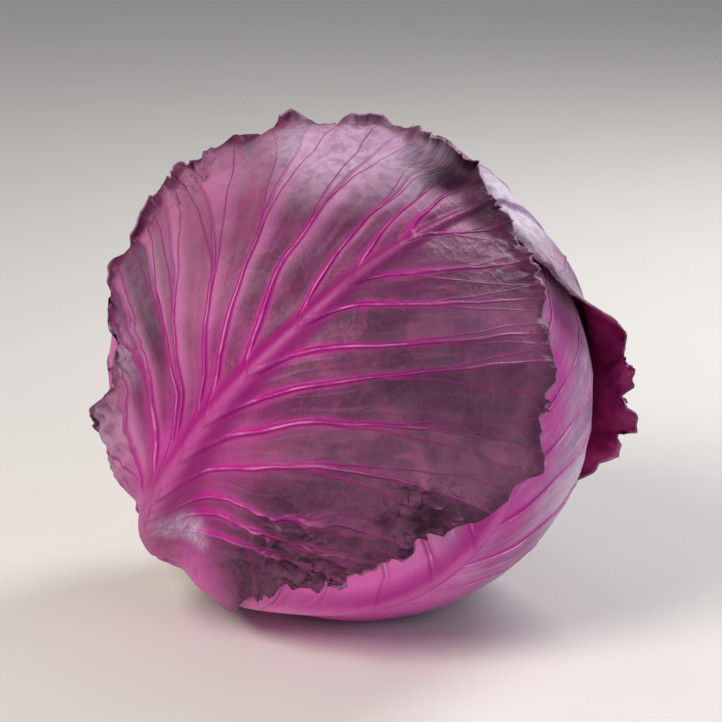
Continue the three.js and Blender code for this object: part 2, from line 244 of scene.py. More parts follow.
# the leaves, from the innermost to the outermost
# azimuth    which way the middle of the leaf faces, about the head's own axis
# midrib     its height at the foot, and bend is how far it bends aside low down
# edge       how far the margin is from the plane's middle, by degrees from the tip
# ribs       a row for each pair of side ribs: where the left one leaves the midrib, the angle at which it
#            meets the margin and how far it bows, then the same for the right one
# ribsFrom   heights on the flat leaf between which the side ribs rise to their full height
# forks      side, rib and upwards or not, where along the rib it begins, and panels from the rib at its end
# flare      stretches of margin that stand away: middle, half width in degrees, height
# curls      stretches of margin that roll outwards: middle, half width, roll in degrees, width
# crumples   stretches of margin with higher creases: middle, half width, how much higher
# torn       stretches with deeper teeth or, below zero, shallower ones: middle, half width, share
# steps      stretches torn off in steps: middle, half width, depth
# swellings  soft bulges of the blade: p, q, reach, height
# wrinkles   withered places with sharp ridges: p, q, reach, height
leaves = [
    {
        "name": "leaf_back", "azimuth": 206, "midrib": 4.5, "bend": 0,
        "edge": [(-165, 130), (-160, 104), (-140, 86), (-110, 88), (-80, 94), (-40, 100), (0, 106),
                 (40, 102), (80, 94), (110, 88), (140, 86), (160, 104), (165, 130)],
        "ribs": pairs([(-70, -126, 0.25, 126, 0.25), (-48, -102, 0.35, 104, 0.3), (-24, -82, 0.28, 80, 0.3),
                       (2, -58, 0.16, 60, 0.2), (30, -36, 0.05, 38, 0.08), (60, -16, -0.04, 15, -0.04)]),
        "curls": [(-70, 14, 70, 6), (20, 16, 90, 6), (78, 12, 60, 6)],
        "ruffle": 1.5, "waves": 15, "rows": 270, "columns": 56, "seed": 11,
        "look": "backSkin",
    },
    {
        "name": "leaf_left", "azimuth": 252, "midrib": 4.5, "bend": 0,
        "edge": [(-165, 130), (-160, 100), (-140, 74), (-118, 66), (-90, 70), (-60, 88), (-30, 104), (0, 112),
                 (30, 110), (60, 106), (90, 104), (120, 108), (145, 112), (160, 118), (165, 130)],
        "ribs": pairs([(-70, -128, 0.25, 130, 0.3), (-50, -102, 0.3, 106, 0.34), (-26, -80, 0.24, 82, 0.28),
                       (-2, -56, 0.16, 60, 0.18), (26, -34, 0.05, 38, 0.06), (58, -15, -0.04, 16, -0.04)]),
        "flare": [(-74, 34, 7)], "curls": [(-80, 20, 60, 6), (-30, 12, 80, 5)],
        "ruffle": 1.8, "waves": 16, "rows": 270, "columns": 56, "seed": 12,
        "look": "leftSkin",
    },
    {
        "name": "leaf_lower", "azimuth": 52, "midrib": 5, "bend": -21,
        "edge": [(-165, 130), (-160, 104), (-145, 84), (-125, 66), (-100, 68), (-75, 80), (-45, 98),
                 (-15, 112), (0, 116), (30, 112), (60, 106), (90, 102), (120, 100), (145, 106), (160, 116),
                 (165, 130)],
        "ribs": pairs([(-72, -124, 0.22, 140, 0.3), (-54, -106, 0.26, 114, 0.36), (-36, -92, 0.26, 96, 0.34),
                       (-18, -76, 0.2, 80, 0.32), (0, -60, 0.16, 65, 0.28), (18, -44, 0.1, 50, 0.2),
                       (38, -28, 0.04, 34, 0.1), (62, -13, -0.04, 15, 0)]),
        "curls": [(70, 14, 60, 5)],
        "ruffle": 1.6, "waves": 16, "rows": 290, "columns": 58, "seed": 13, "carriesHead": True,
        "ribsFrom": (-44, 6),
        "look": "lowerSkin",
    },
    {
        "name": "leaf_right", "azimuth": 155, "midrib": 5, "bend": 0,
        "edge": [(-165, 130), (-163, 96), (-158, 70), (-149, 53), (-136, 47), (-118, 47), (-102, 50),
                 (-90, 54), (-80, 60), (-72, 66), (-66, 70), (-61, 72), (-57, 81), (-53, 86), (-46, 80),
                 (-40, 79), (-34, 83), (-26, 114), (-12, 126), (0, 129), (20, 117), (45, 92), (70, 76),
                 (95, 68), (120, 66), (140, 72), (160, 100), (165, 130)],
        "ribs": [(-66, -147, 0.45, -72, 130, 0.22), (-46, -105, 0.37, -52, 106, 0.28),
                 (-32, -90, 0.28, -32, 88, 0.24), (-10, -72, 0.2, -10, 70, 0.18),
                 (14, -54, 0.12, 14, 52, 0.1), (38, -38, 0.04, 38, 35, 0.04),
                 (66, -21, -0.04, 66, 18, -0.02)],
        "flare": [(-44, 24, 6), (-70, 16, 2)], "curls": [(40, 14, 70, 5), (-66, 5, 120, 4)],
        "crumples": [(-56, 26, 3.0)], "torn": [(-54, 26, 1.6)],
        "ruffle": 2.2, "waves": 17, "rows": 320, "columns": 60, "seed": 14,
        "look": "rightSkin",
    },
    {
        "name": "leaf_front", "azimuth": -15, "midrib": 7, "bend": 4,
        "edge": [(-165, 130), (-160, 102), (-156, 91), (-151, 81), (-144, 65), (-135, 58), (-126, 57),
                 (-118, 66), (-111, 78), (-103, 86), (-94, 90), (-84, 93), (-76, 96), (-66, 103), (-55, 110),
                 (-45, 113), (-28, 117), (-14, 116), (0, 110), (12, 107), (25, 105), (38, 100), (50, 97),
                 (62, 96), (72, 88), (82, 80), (90, 74), (105, 72), (120, 71), (134, 71), (146, 80),
                 (155, 98), (165, 130)],
        "ribs": [(-74.4, -133, 0.24, -74, 114, 0.11), (-68, -108.6, 0.44, -66, 104, 0.155),
                 (-63, -98, 0.495, -58, 93, 0.17), (-56, -87, 0.38, -46, 77, 0.24),
                 (-40, -76, 0.4, -30, 61, 0.18), (-24, -48, 0.12, -14, 41, 0.06),
                 (-4, -27, -0.05, 8, 35, 0.02), (18, -16, -0.05, 28, 27, 0.02),
                 (42, -11, -0.05, 42, 17, 0.0), (66, -7, -0.08, 68, 7, 0)],
        "forks": [((1, 5, 0), 0.45, 0.42), ((1, 4, 0), 0.4, 0.39), ((1, 8, 0), 0.25, 0.7),
                  ((-1, 3, 1), 0.5, 0.4), ((-1, 4, 1), 0.45, 0.36), ((-1, 5, 1), 0.5, 0.34)],
        "flare": [(-150, 10, 2.5), (-108, 14, 1.5)],
        "curls": [(-148, 5, 130, 3.5), (-108, 5, 110, 4), (-94, 8, 150, 6), (-78, 6, 140, 5),
                  (-65, 5, 120, 3.6), (-54, 4, 140, 5), (-37, 6, 130, 5), (-16, 15, 160, 8),
                  (64, 4, 100, 4), (96, 5, 110, 4), (120, 6, 120, 4)],
        "crumples": [(-112, 16, 2.0), (-92, 14, 1.4), (-60, 30, 1.0), (92, 22, 1.8), (126, 16, 1.2),
                     (30, 30, 0.8)],
        "swellings": [(-10, -64, 34, 5.6)],
        "wrinkles": [(-26, -62, 20, 1.8), (48, -30, 34, 2.6), (68, 6, 19, 4.0), (-86, 20, 22, 3.2),
                     (-46, -34, 20, 2.6), (24, 98, 18, 0.7), (-36, -54, 18, 2.0), (20, -76, 16, 1.0),
                     (-60, 84, 18, 1.0)],
        "torn": [(-92, 34, 1.2), (-40, 20, 0.6), (80, 30, 0.4), (12, 30, 0.3), (122, 24, -0.5)],
        "steps": [(78, 32, 2.4), (-100, 24, 1.4)],
        "ruffle": 1.6, "waves": 19, "rows": 340, "columns": 64, "seed": 15,
        "look": "frontSkin",
    },
]
for leaf in leaves:
    leaf["axes"] = planeAxes(leaf)
    leaf["tip"] = float(marginAt(leaf, 0))
    leaf["lowest"] = 0 if leaf.get("carriesHead") else wrap["clearFloor"]

veins = {
    "ribHeight": 1.0,  # at the midrib
    "ribTipHeight": 0.22,
    "ribHalf": 1.2,  # half width at the midrib
    "ribTipHalf": 0.45,
    "topRibs": 0.55,  # share of both near the leaf's tip
    "forkShare": 0.55,  # of its rib's half width
    "forkHeight": 0.45,  # share of its rib's height
    "wander": [(24, 1.9), (8, 0.45)],  # lengths over which ribs stray, and by how much
    "keel": 3.4,  # ridge along the midrib's broad swelling
    "keelTip": 0.7,
    "keelHalf": 10.5,
    "keelTipHalf": 1.1,
    "footing": 22.0,  # distance over which the leaf's foot rises from the stem
}

frill = {
    "toothDepth": 1.5,
    "toothLength": 3.6,
    "unevenLength": 9.0,  # stretches of deep teeth and of shallow ones
    "toothReach": 6.0,  # how far in from the margin the teeth are felt
    "lobeDepth": 1.4,
    "lobeLength": 11.0,
    "stepLength": 10.0,
    "stepReach": 14.0,
    "crinkle": 1.0,  # height of the small creases along the margin
    "creaseLength": 5.5,
    "creaseReach": 14.0,
    "undulation": 0.5,  # soft swellings all over the blade
    "undulationLength": 24.0,
    "pucker": 0.5,  # small ones between the ribs
    "puckerLength": 7.0,
}

withering = {
    "ridges": (6.5, 4.2),  # size of the net of ridges across and along the leaf, and of a finer net in it
    "fineRidges": (3.0, 3.6),
    "crest": 0.2,  # how near to a ridge its painted highlight begins, and how far from one the painted shade of the hollow
    "hollow": 0.66,
}


def phaseTable(leaf, side):
    # root, angle and bow by phase: -1 is the foot, 0 the first side rib and so on, and the last is the tip
    first = 0 if side < 0 else 3
    rows = [row[first : first + 3] for row in leaf["ribs"]]
    tip = (leaf["tip"], side * wrap["tipAngle"], 0)
    return np.array([(leafFoot, side * wrap["footAngle"], wrap["footBow"]), *rows, tip], float)


def sidePoints(leaf, side, phase, share):
    # points of the flat leaf on curves that side ribs would follow
    table, other = phaseTable(leaf, side), phaseTable(leaf, -side)
    knots = np.arange(-1, len(table) - 1)
    root, angle, bow = (np.interp(phase, knots, table[:, i]) for i in range(3))
    widening = np.clip(phase + 1, 0, 1) ** wrap["footEase"]
    angle = np.where(phase < 0, mix(table[0, 1], table[1, 1], widening), angle)
    bow = np.where(phase < 0, mix(table[0, 2], table[1, 2], widening), bow) * side
    shared = (root + np.interp(phase, knots, other[:, 0])) / 2
    reach = marginAt(leaf, angle)
    start = np.stack([midribAt(leaf, root)[0], root], -1)
    end = np.stack([reach * np.sin(np.radians(angle)), reach * np.cos(np.radians(angle))], -1)
    chord = end - start
    bent = start + chord / 2 + bow[..., None] * np.stack([-chord[..., 1], chord[..., 0]], -1)
    s = share[..., None]
    points = (1 - s) ** 2 * start + 2 * s * (1 - s) * bent + s**2 * end
    # both sides start from one point of the midrib, and slide to their own curve across its width
    across, _, halfWidth = midribAt(leaf, shared)
    away = share * np.hypot(chord[..., 0], chord[..., 1]) / (0.9 * halfWidth + 3)
    slide = np.stack([across, shared], -1) - start
    return points + slide * (1 - ease(away, 0, 1))[..., None]


def rowPhases(leaf):
    # rows crowd together on each side rib, and every rib has a row on its crest
    count = len(leaf["ribs"]) + 1
    knots = np.arange(-1, count, dtype=float)
    middle, margin = np.zeros(len(knots)), np.ones(len(knots))
    inner = sidePoints(leaf, -1, knots, middle)
    outer = [sidePoints(leaf, side, knots, margin) for side in (-1, 1)]
    lengths = 0.4 * np.linalg.norm(np.diff(inner, axis=0), axis=1)
    lengths += 0.3 * sum(np.linalg.norm(np.diff(o, axis=0), axis=1) for o in outer)
    panels = np.maximum(4, np.round(lengths / lengths.sum() * leaf["rows"])).astype(int)
    panels[0] += leaf["rows"] - panels.sum()
    phases = [np.array([-1.0])]
    for start, rows in zip(knots, panels):
        t = np.arange(1, rows + 1) / rows
        crowding = 0.4 if start >= 0 else 0.0
        phases.append(start + t - crowding * np.sin(2 * math.pi * t) / (2 * math.pi))
    return np.concatenate(phases)


def panelWidths(leaf, side, phase, share):
    # distance between the two side ribs on either side of a point
    low = np.clip(np.floor(phase), -1, len(leaf["ribs"]) - 1)
    below, above = sidePoints(leaf, side, low, share), sidePoints(leaf, side, low + 1, share)
    along = sidePoints(leaf, side, low, np.minimum(share + 0.01, 1.01)) - below
    along /= np.maximum(np.linalg.norm(along, axis=-1, keepdims=True), 1e-9)
    gap = above - below
    return np.maximum(np.abs(gap[..., 0] * along[..., 1] - gap[..., 1] * along[..., 0]), 0.3)


def forkOffsets(leaf, side, rib, share, upwards):
    # how far, in panels, a fork has left its rib
    count = len(leaf["ribs"])
    random = np.random.default_rng(leaf["seed"] * 100 + (side > 0) * 10 + upwards)
    starts = random.uniform(0.28, 0.62, count + 2)
    spreads = random.uniform(0.26, 0.46, count + 2)
    for key, start, spread in leaf.get("forks", ()):
        if key[0] == side and key[2] == upwards:
            starts[key[1] + 1], spreads[key[1] + 1] = start, spread
    index = np.clip(rib + 1, 0, count + 1).astype(int)
    along = np.clip((share - starts[index]) / (1 - starts[index]), 0, 1)
    return spreads[index] * along**0.85


def untangle(points):
    # eases apart the few places where neighbouring curves cross, by averaging there with the neighbours
    for _ in range(60):
        down, right = np.diff(points, axis=0)[:, :-1], np.diff(points, axis=1)[:-1]
        turn = down[..., 0] * right[..., 1] - down[..., 1] * right[..., 0]
        crossed = turn * np.sign(np.median(turn)) < 0.004
        if not crossed.any():
            break
        near = np.zeros(points.shape[:2], bool)
        for i, j in ((0, 0), (0, 1), (1, 0), (1, 1)):
            near[i : i + crossed.shape[0], j : j + crossed.shape[1]] |= crossed
        near[1:-1] |= near[:-2] | near[2:]
        inner = near[1:-1, 1:-1]
        middle = (points[:-2, 1:-1] + points[2:, 1:-1] + points[1:-1, :-2] + points[1:-1, 2:]) / 4
        points[1:-1, 1:-1][inner] = middle[inner]
        for side in (0, -1):
            ends = (points[:-2, side] + points[2:, side]) / 2
            points[1:-1, side][near[1:-1, side]] = ends[near[1:-1, side]]
    return points


def leafFields(leaf):
    # everything that is known of each point of the blade before it is laid on the head
    rowPhase = rowPhases(leaf)
    columns = leaf["columns"]
    share = np.abs(np.arange(-columns, columns + 1)) / columns
    phase, share = np.meshgrid(rowPhase, share * (1.3 - 0.3 * share), indexing="ij")  # finer at the margin
    points, width = np.zeros((*phase.shape, 2)), np.zeros(phase.shape)
    forks = []
    for side, part in ((-1, slice(0, columns)), (1, slice(columns, 2 * columns + 1))):
        points[:, part] = sidePoints(leaf, side, phase[:, part], share[:, part])
        width[:, part] = panelWidths(leaf, side, phase[:, part], share[:, part])
    count = len(leaf["ribs"])
    sway = ease(share, 0.03, 0.2) * (1 - 0.7 * ease(share, 0.85, 1))
    sway = sway * (1 - ease(phase, count - 1, count - 0.3))
    for length, amount in veins["wander"]:
        where = points / length + 30
        for axis in (0, 1):
            stray = smoothNoise(where[..., 0], where[..., 1], leaf["seed"] + 40 + axis)
            points[..., axis] += amount * sway * stray
    points = untangle(points)
    nearest = np.round(phase)
    half = mix(veins["ribHalf"], veins["ribTipHalf"], share**0.8)
    half = half * mix(1, veins["topRibs"], np.clip(phase / count, 0, 1))
    isRib = (nearest >= 0) & (nearest < count)
    ribScale = np.where(isRib, width / half, 60.0)
    low = np.floor(phase)
    forkHalf = half * veins["forkShare"]
    for upwards in (1, 0):
        value = np.zeros(phase.shape)
        for side, part in ((-1, slice(0, columns)), (1, slice(columns, 2 * columns + 1))):
            rib = low[:, part] if upwards else low[:, part] + 1
            real = (rib >= 0) & (rib < count)
            offset = forkOffsets(leaf, side, rib, share[:, part], upwards)
            line = rib + offset if upwards else rib - offset
            far = (phase[:, part] - line) * width[:, part] / forkHalf[:, part]
            value[:, part] = np.where(real, far, 40.0)
        forks.append(np.clip(value, -40, 40))
    return {
        "phase": phase, "share": share, "points": points,
        "ribScale": ribScale, "ribAside": np.abs(phase - nearest) * ribScale, "forks": forks,
    }


def stretch(angle, middle, halfWidth, easing):
    # 1 in the middle of a stretch of margin, easing to 0 at its ends
    return ease(1 - np.abs(angle - middle) / halfWidth, 0, easing)


def cutMargin(leaf, points, fields):
    # teeth and shallow lobes in the outline, and stretches of it torn off in steps
    angle, inside, along, outward = (fields[key] for key in ("angle", "inside", "along", "outward"))
    seed = leaf["seed"]
    cut = np.abs(smoothNoise(along / frill["toothLength"], 0 * along, seed))
    teeth = frill["toothDepth"] * (0.6 - 2.2 * np.minimum(cut, 0.7) ** 0.7)
    lobes = frill["lobeDepth"] * smoothNoise(along / frill["lobeLength"], 0 * along + 7, seed)
    torn = 0.85 + 1.0 * smoothNoise(along / frill["unevenLength"], 0 * along + 11, seed)
    torn = np.maximum(torn, 0.15)
    for middle, halfWidth, more in leaf.get("torn", ()):
        torn += more * stretch(angle, middle, halfWidth, 0.5)
    nearMargin = 1 - ease(inside, 0, frill["toothReach"])
    points = points + outward * ((torn * teeth + lobes) * nearMargin * fields["loose"])[..., None]
    stepped = np.tanh(5 * smoothNoise(along / frill["stepLength"] + 5, 0 * along + 13, seed)) - 0.2
    for middle, halfWidth, depth in leaf.get("steps", ()):
        here = stretch(angle, middle, halfWidth, 0.5) * (1 - ease(inside, 0, frill["stepReach"]))
        points = points + outward * (depth * here * stepped)[..., None]
    return points


def waveMargin(leaf, fields):
    # how far the margin's waves, flares and creases lift the blade
    angle, share, inside, along = (fields[key] for key in ("angle", "share", "inside", "along"))
    turn = np.radians(angle)
    wave = 0.5 + 0.5 * np.sin(leaf["waves"] * turn + 0.7 * np.sin(5 * turn))
    lift = leaf["ruffle"] * wave * ease(share, 0.7, 1)
    for middle, halfWidth, height in leaf.get("flare", ()):
        lift = lift + height * stretch(angle, middle, halfWidth, 0.6) * ease(share, 0.5, 1) ** 1.4
    crease = smoothNoise(along / frill["creaseLength"], inside / 9 + 3, leaf["seed"] + 1)
    crease += 0.5 * smoothNoise(along / (0.5 * frill["creaseLength"]), inside / 5 + 3, leaf["seed"] + 2)
    crinkle = np.full(angle.shape, frill["crinkle"])
    for middle, halfWidth, height in leaf.get("crumples", ()):
        crinkle += height * stretch(angle, middle, halfWidth, 0.6)
    lift = lift + crinkle * (0.5 + 0.6 * crease) * (1 - ease(inside, 1, frill["creaseReach"]))
    return lift * fields["free"]


def rollMargin(leaf, points, lift, fields):
    # stretches of the margin roll outwards
    for middle, halfWidth, roll, width in leaf["curls"]:
        bent = np.radians(roll) * stretch(fields["angle"], middle, halfWidth, 0.8) * fields["free"]
        radius = width / np.maximum(bent, 1e-3)
        arc = np.maximum(0, width - fields["inside"])
        points = points + fields["outward"] * (radius * np.sin(arc / radius) - arc)[..., None]
        lift = lift + radius * (1 - np.cos(arc / radius))
    return points, lift


def swellAndWither(leaf, points, lift, fields):
    # bulges and small swellings of the blade, and withered places with sharp ridges and hollows between them;
    # the ridges get a painted highlight and the hollows painted shade
    bare, seed = fields["bare"], leaf["seed"]
    for p, q, size, height in leaf.get("swellings", ()):
        lift = lift + height * bare * (1 - ease(distanceTo(points, p, q), 0, size))
    ridges = np.zeros(lift.shape)
    valleys = np.abs(planeNoise(points, *withering["ridges"], seed + 5))
    valleys += 0.6 * np.abs(planeNoise(points, *withering["fineRidges"], seed + 6))
    for p, q, size, height in leaf.get("wrinkles", ()):
        near = 1 - ease(distanceTo(points, p, q), 0.3 * size, size)
        lift = lift + height * near * bare * np.maximum(0, 1 - 1.3 * valleys)
        ridges = np.maximum(ridges, near * min(1, height / 3))
    crests = np.maximum(0, 1 - valleys / withering["crest"])
    foldHighlightAndShade = ridges * (crests - ease(valleys, withering["hollow"], 1.0))
    hills = planeNoise(points, frill["undulationLength"], frill["undulationLength"], seed + 3)
    puckers = planeNoise(points, frill["puckerLength"], frill["puckerLength"], seed + 4)
    swelling = frill["undulation"] * (0.5 + 0.5 * hills) + frill["pucker"] * (0.5 + 0.5 * puckers)
    return lift + swelling * fields["free"] * ease(fields["share"], 0.05, 0.3), foldHighlightAndShade


def raiseRibs(order, leaf, points, fields):
    # how far the midrib with its keel, the side ribs and the forks stand out of the blade
    across = midribAt(leaf, points[..., 1])[0]
    upTheLeaf = alongMidrib(leaf, points[..., 1])
    keelHalf = mix(veins["keelHalf"], veins["keelTipHalf"], upTheLeaf**0.55)
    keelAside = (points[..., 0] - across) / keelHalf
    keel = mix(veins["keel"], veins["keelTip"], upTheLeaf**0.6) * np.exp(-np.abs(keelAside) ** 2.6)
    height = mix(veins["ribHeight"], veins["ribTipHeight"], fields["share"])
    height = height * mix(1, veins["topRibs"], np.clip(fields["phase"] / len(leaf["ribs"]), 0, 1))
    height = height * mix(0.25, 1, ease(points[..., 1], *leaf.get("ribsFrom", (-200, -190))))
    ribs = height * np.exp(-((fields["ribAside"] / 1.1) ** 2)) * ease(fields["share"], 0.0, 0.08)
    forkAside = np.minimum(np.abs(fields["forks"][0]), np.abs(fields["forks"][1]))
    forks = veins["forkHeight"] * height * np.exp(-((forkAside / 1.3) ** 2))
    footing = 0.3 + 0.7 * ease(points[..., 1], leafFoot, leafFoot + veins["footing"])
    broad = midribRelief(leaf, points)
    relief = np.maximum((broad + keel) * footing, np.maximum(ribs, forks))
    if order < len(leaves) - 1:  # pressed flatter under the next leaf
        relief = mix(np.minimum(relief, broad + 0.6), relief, fields["free"])
    return relief, keelAside


def shapeLeaf(order, leaf):
    # all that makeLeaf needs to know of each point, with its place on the head
    fields = leafFields(leaf)
    points = fields["points"]
    angle, reach = angleOf(points), distanceTo(points, 0, 0)
    edge = marginAt(leaf, angle)
    bare = freedom(order, toDirection(leaf, points))
    loose = ease(wrap["footAngle"] - np.abs(angle), 0, 25)
    fields.update({
        "angle": angle, "bare": bare, "loose": loose, "free": bare * loose,
        "inside": np.maximum(0, edge - reach),  # distance in from the margin
        "along": edge * np.radians(angle),  # distance along it
        "outward": points / np.maximum(reach, 1e-9)[..., None],
    })
    points = cutMargin(leaf, points, fields)
    points, lift = rollMargin(leaf, points, waveMargin(leaf, fields), fields)
    lift, foldHighlightAndShade = swellAndWither(leaf, points, lift, fields)
    relief, keelAside = raiseRibs(order, leaf, points, fields)
    direction = toDirection(leaf, points)
    lying = coreRadius(direction) + underLift(order, direction)
    radius = keepAbove(direction, lying + wrap["blade"] + relief + lift, leaf["lowest"])
    place = laid(direction * radius[..., None])
    fields.update({
        "points": points, "place": place, "relief": relief, "keelAside": keelAside, "foldHighlightAndShade": foldHighlightAndShade,
    })
    return fields


def meshFrom(bm, name):
    # a mesh and its points
    mesh = bpy.data.meshes.new(name)
    bm.to_mesh(mesh)
    bm.free()
    points = np.empty(3 * len(mesh.vertices), np.float32)
    mesh.vertices.foreach_get("co", points)
    return mesh, points.reshape(-1, 3)


def movePoints(mesh, points):
    mesh.vertices.foreach_set("co", points.astype(np.float32).ravel())
    mesh.update()
    mesh.polygons.foreach_set("use_smooth", np.ones(len(mesh.polygons), bool))


def addAttribute(mesh, name, *values):
    # one number, two or three for every point
    kind, field = (("FLOAT", "value"), ("FLOAT2", "vector"), ("FLOAT_VECTOR", "vector"))[len(values) - 1]
    attribute = mesh.attributes.new(name, kind, "POINT")
    attribute.data.foreach_set(field, np.stack(values, -1).astype(np.float32).ravel())


def addObject(name, data):
    made = bpy.data.objects.new(name, data)
    bpy.context.scene.collection.objects.link(made)
    return made


thickness = {"blade": 0.75, "margin": 0.5, "most": 9.0}  # millimetres, where most is for a full weight
perUnit = 100  # millimetres of leaf to one unit of its flat plane


def makeLeaf(order, leaf):
    fields = shapeLeaf(order, leaf)
    rows, columns = leaf["rows"], leaf["columns"]
    bm = bmesh.new()
    bmesh.ops.create_grid(bm, x_segments=2 * columns, y_segments=rows, size=1)
    mesh, cells = meshFrom(bm, leaf["name"] + "_skin")
    row = np.round((cells[:, 1] + 1) / 2 * rows).astype(int)
    column = np.round((cells[:, 0] + 1) * columns).astype(int)

    def at(key):
        return fields[key][row, column]

    movePoints(mesh, at("place"))
    centre = np.array([0, 0, head["height"] * mm])
    normals = np.empty(3 * len(mesh.polygons), np.float32)
    middles = np.empty(3 * len(mesh.polygons), np.float32)
    mesh.polygons.foreach_get("normal", normals)
    mesh.polygons.foreach_get("center", middles)
    if ((middles.reshape(-1, 3) - centre) * normals.reshape(-1, 3)).sum() < 0:
        mesh.flip_normals()

    loops = np.empty(len(mesh.loops), np.int32)
    mesh.loops.foreach_get("vertex_index", loops)
    plane = (at("points") / perUnit)[loops]
    uv = mesh.uv_layers.new(name="leafPlane")
    uv.data.foreach_set("uv", np.ascontiguousarray(plane, np.float32).ravel())

    up, downwards = (fork[row, column] for fork in fields["forks"])
    addAttribute(mesh, "ribs", at("phase"), at("ribScale"), at("share"))
    # the third number carries the painted highlight of withered ridges and the painted shade of their hollows
    addAttribute(mesh, "forks", up, downwards, at("foldHighlightAndShade"))
    addAttribute(mesh, "place", at("inside"), at("keelAside"))

    skin = addObject(leaf["name"] + "_skin", mesh)
    group = skin.vertex_groups.new(name="thickness")
    blade = mix(thickness["margin"], thickness["blade"], ease(at("inside"), 0, 6))
    weights = np.clip((blade + at("relief")) / thickness["most"], 0, 1)
    levels = np.round(weights, 2)
    for level in np.unique(levels):
        group.add(np.nonzero(levels == level)[0].tolist(), float(level), "REPLACE")
    solid = skin.modifiers.new("thickness", "SOLIDIFY")
    solid.thickness = thickness["most"] * mm
    solid.offset = -1
    solid.vertex_group = "thickness"
    solid.use_rim = True
    solid.material_offset = 1
    solid.material_offset_rim = 2
    return skin


def colour(hexCode):
    # sRGB hex to the linear colour that shaders want
    parts = [int(hexCode[i : i + 2], 16) / 255 for i in (0, 2, 4)]
    return (*(p / 12.92 if p <= 0.04045 else ((p + 0.055) / 1.055) ** 2.4 for p in parts), 1)


def addNode(tree, kind, settings=None, *values, **named):
    # adds a node with its settings, and what feeds its inputs, in their order or by name
    made = tree.nodes.new("ShaderNode" + kind)
    for key, value in (settings or {}).items():
        setattr(made, key, value)
    fed = list(zip([socket for socket in made.inputs if socket.enabled], values))
    fed += [(made.inputs[key.replace("_", " ")], value) for key, value in named.items()]
    for socket, value in fed:
        if isinstance(value, bpy.types.Node):
            value = next(output for output in value.outputs if output.enabled)
        if isinstance(value, bpy.types.NodeSocket):
            tree.links.new(value, socket)
        else:
            socket.default_value = colour(value) if isinstance(value, str) else value
    return made


def newMaterial(name):
    # an empty material, and what adds nodes to it
    material = bpy.data.materials.new(name)
    material.use_nodes = True
    material.node_tree.nodes.clear()
    return material, partial(addNode, material.node_tree)


multiply, plus, minus = ({"operation": o} for o in ("MULTIPLY", "ADD", "SUBTRACT"))
largest, smallest, positive = ({"operation": o} for o in ("MAXIMUM", "MINIMUM", "ABSOLUTE"))
foldBack, multiplyAdd = ({"operation": o} for o in ("PINGPONG", "MULTIPLY_ADD"))
soft = {"interpolation_type": "SMOOTHSTEP"}
tints = {"data_type": "RGBA"}
cellEdges = {"feature": "DISTANCE_TO_EDGE", "voronoi_dimensions": "2D"}
perMetre = 1000  # millimetres to one unit of an object's own coordinates


def shown(add, *factors):
    # how much of something shows: all its factors multiplied, where a tuple is a value, the low and the high
    # that it eases between and, if they aren't 0 and 1, what it gives there
    total = None
    for factor in factors:
        if isinstance(factor, tuple):
            factor = add("MapRange", soft, *factor)
        total = factor if total is None else add("Math", multiply, total, factor)
    return total


def layered(add, skin, layers):
    # colours laid one over another, each row with its colour and with what makes it show
    for tint, *factors in layers:
        skin = add("Mix", tints, shown(add, *factors), skin, tint)
    return skin


def spots(add, plane, rows):
    # soft round spots on the flat leaf: p, q and reach in millimetres, and strength
    total = 0.0
    for p, q, reach, strength in rows:
        middle = (p / perUnit, q / perUnit, 0)
        far = add("VectorMath", {"operation": "DISTANCE"}, plane, middle).outputs["Value"]
        spot = add("MapRange", soft, far, 0.15 * reach / perUnit, reach / perUnit, strength, 0.0)
        total = add("Math", largest, total, spot)
    return total


# the outer skin of a red cabbage leaf: a smooth cuticle over purple cells, dulled by a blue-white wax that
# rubs off, with glossy pink ribs that stand out of it; painted highlights lie along the ribs, the margin and
# the withered ridges, and painted shade in hollows, slits and places under other leaves
usual = {
    # what every leaf has, unless its own skin says otherwise
    "shadeAndFlecks": "2A0C20",  # the darkest colour: painted shade, and dark flecks near the margin
    "rosy": "D060AE",
    # pale streaks of rubbed wax, partly painted highlight
    "scuffAndHighlight": "DDD0EA",
    # a painted highlight along the margin, and spots on the torn edge
    "rimHighlightAndSpots": "B27E9F",
    "ribsShow": (-2.1, -2.0),  # heights on the flat leaf between which the side ribs gain their full colour
    "crestShows": (0.75, 0.35),  # painted highlight on the ribs' crests, beside the midrib and at the margin
    "fibres": (0.5, 0.1),  # fibres between the ribs, near the midrib and at the margin
    "halo": (1.0, 0.12),  # magenta along each rib, beside the midrib and at the margin
    "refraction": 1.42,  # of wet plant cells
    "gloss": 0.36,
    "glowShare": 0.1,  # share of the light that passes under the skin, how far by colour, and its length
    "glowSpread": (1.0, 0.25, 0.6),
    "glowLength": 1.5 * mm,
    "veinNet": 9.0,  # millimetres across a mesh of small veins, and across the finer ones in it
    "fineVeinNet": 3.0,
    "netBends": 11.11,  # from one bend of the net to the next
    "streakWidth": 1.4,
}
clouding = {
    # millimetres from one cloud to the next, octaves, roughness and distortion
    "clouds": (34, 4, 0.58, 0.7),
    "blotches": (13, 4, 0.58, 0.5),
    "mottle": (4.5, 7, 0.58, 0.4),
    "grain": (0.9, 3, 0.58, 0.0),  # the wax's grain, drawn far coarser than it is so that it shows
    "ripples": (8, 2, 0.5, 0.6),
    "specks": (2.2, 3, 0.6, 0.0),
}
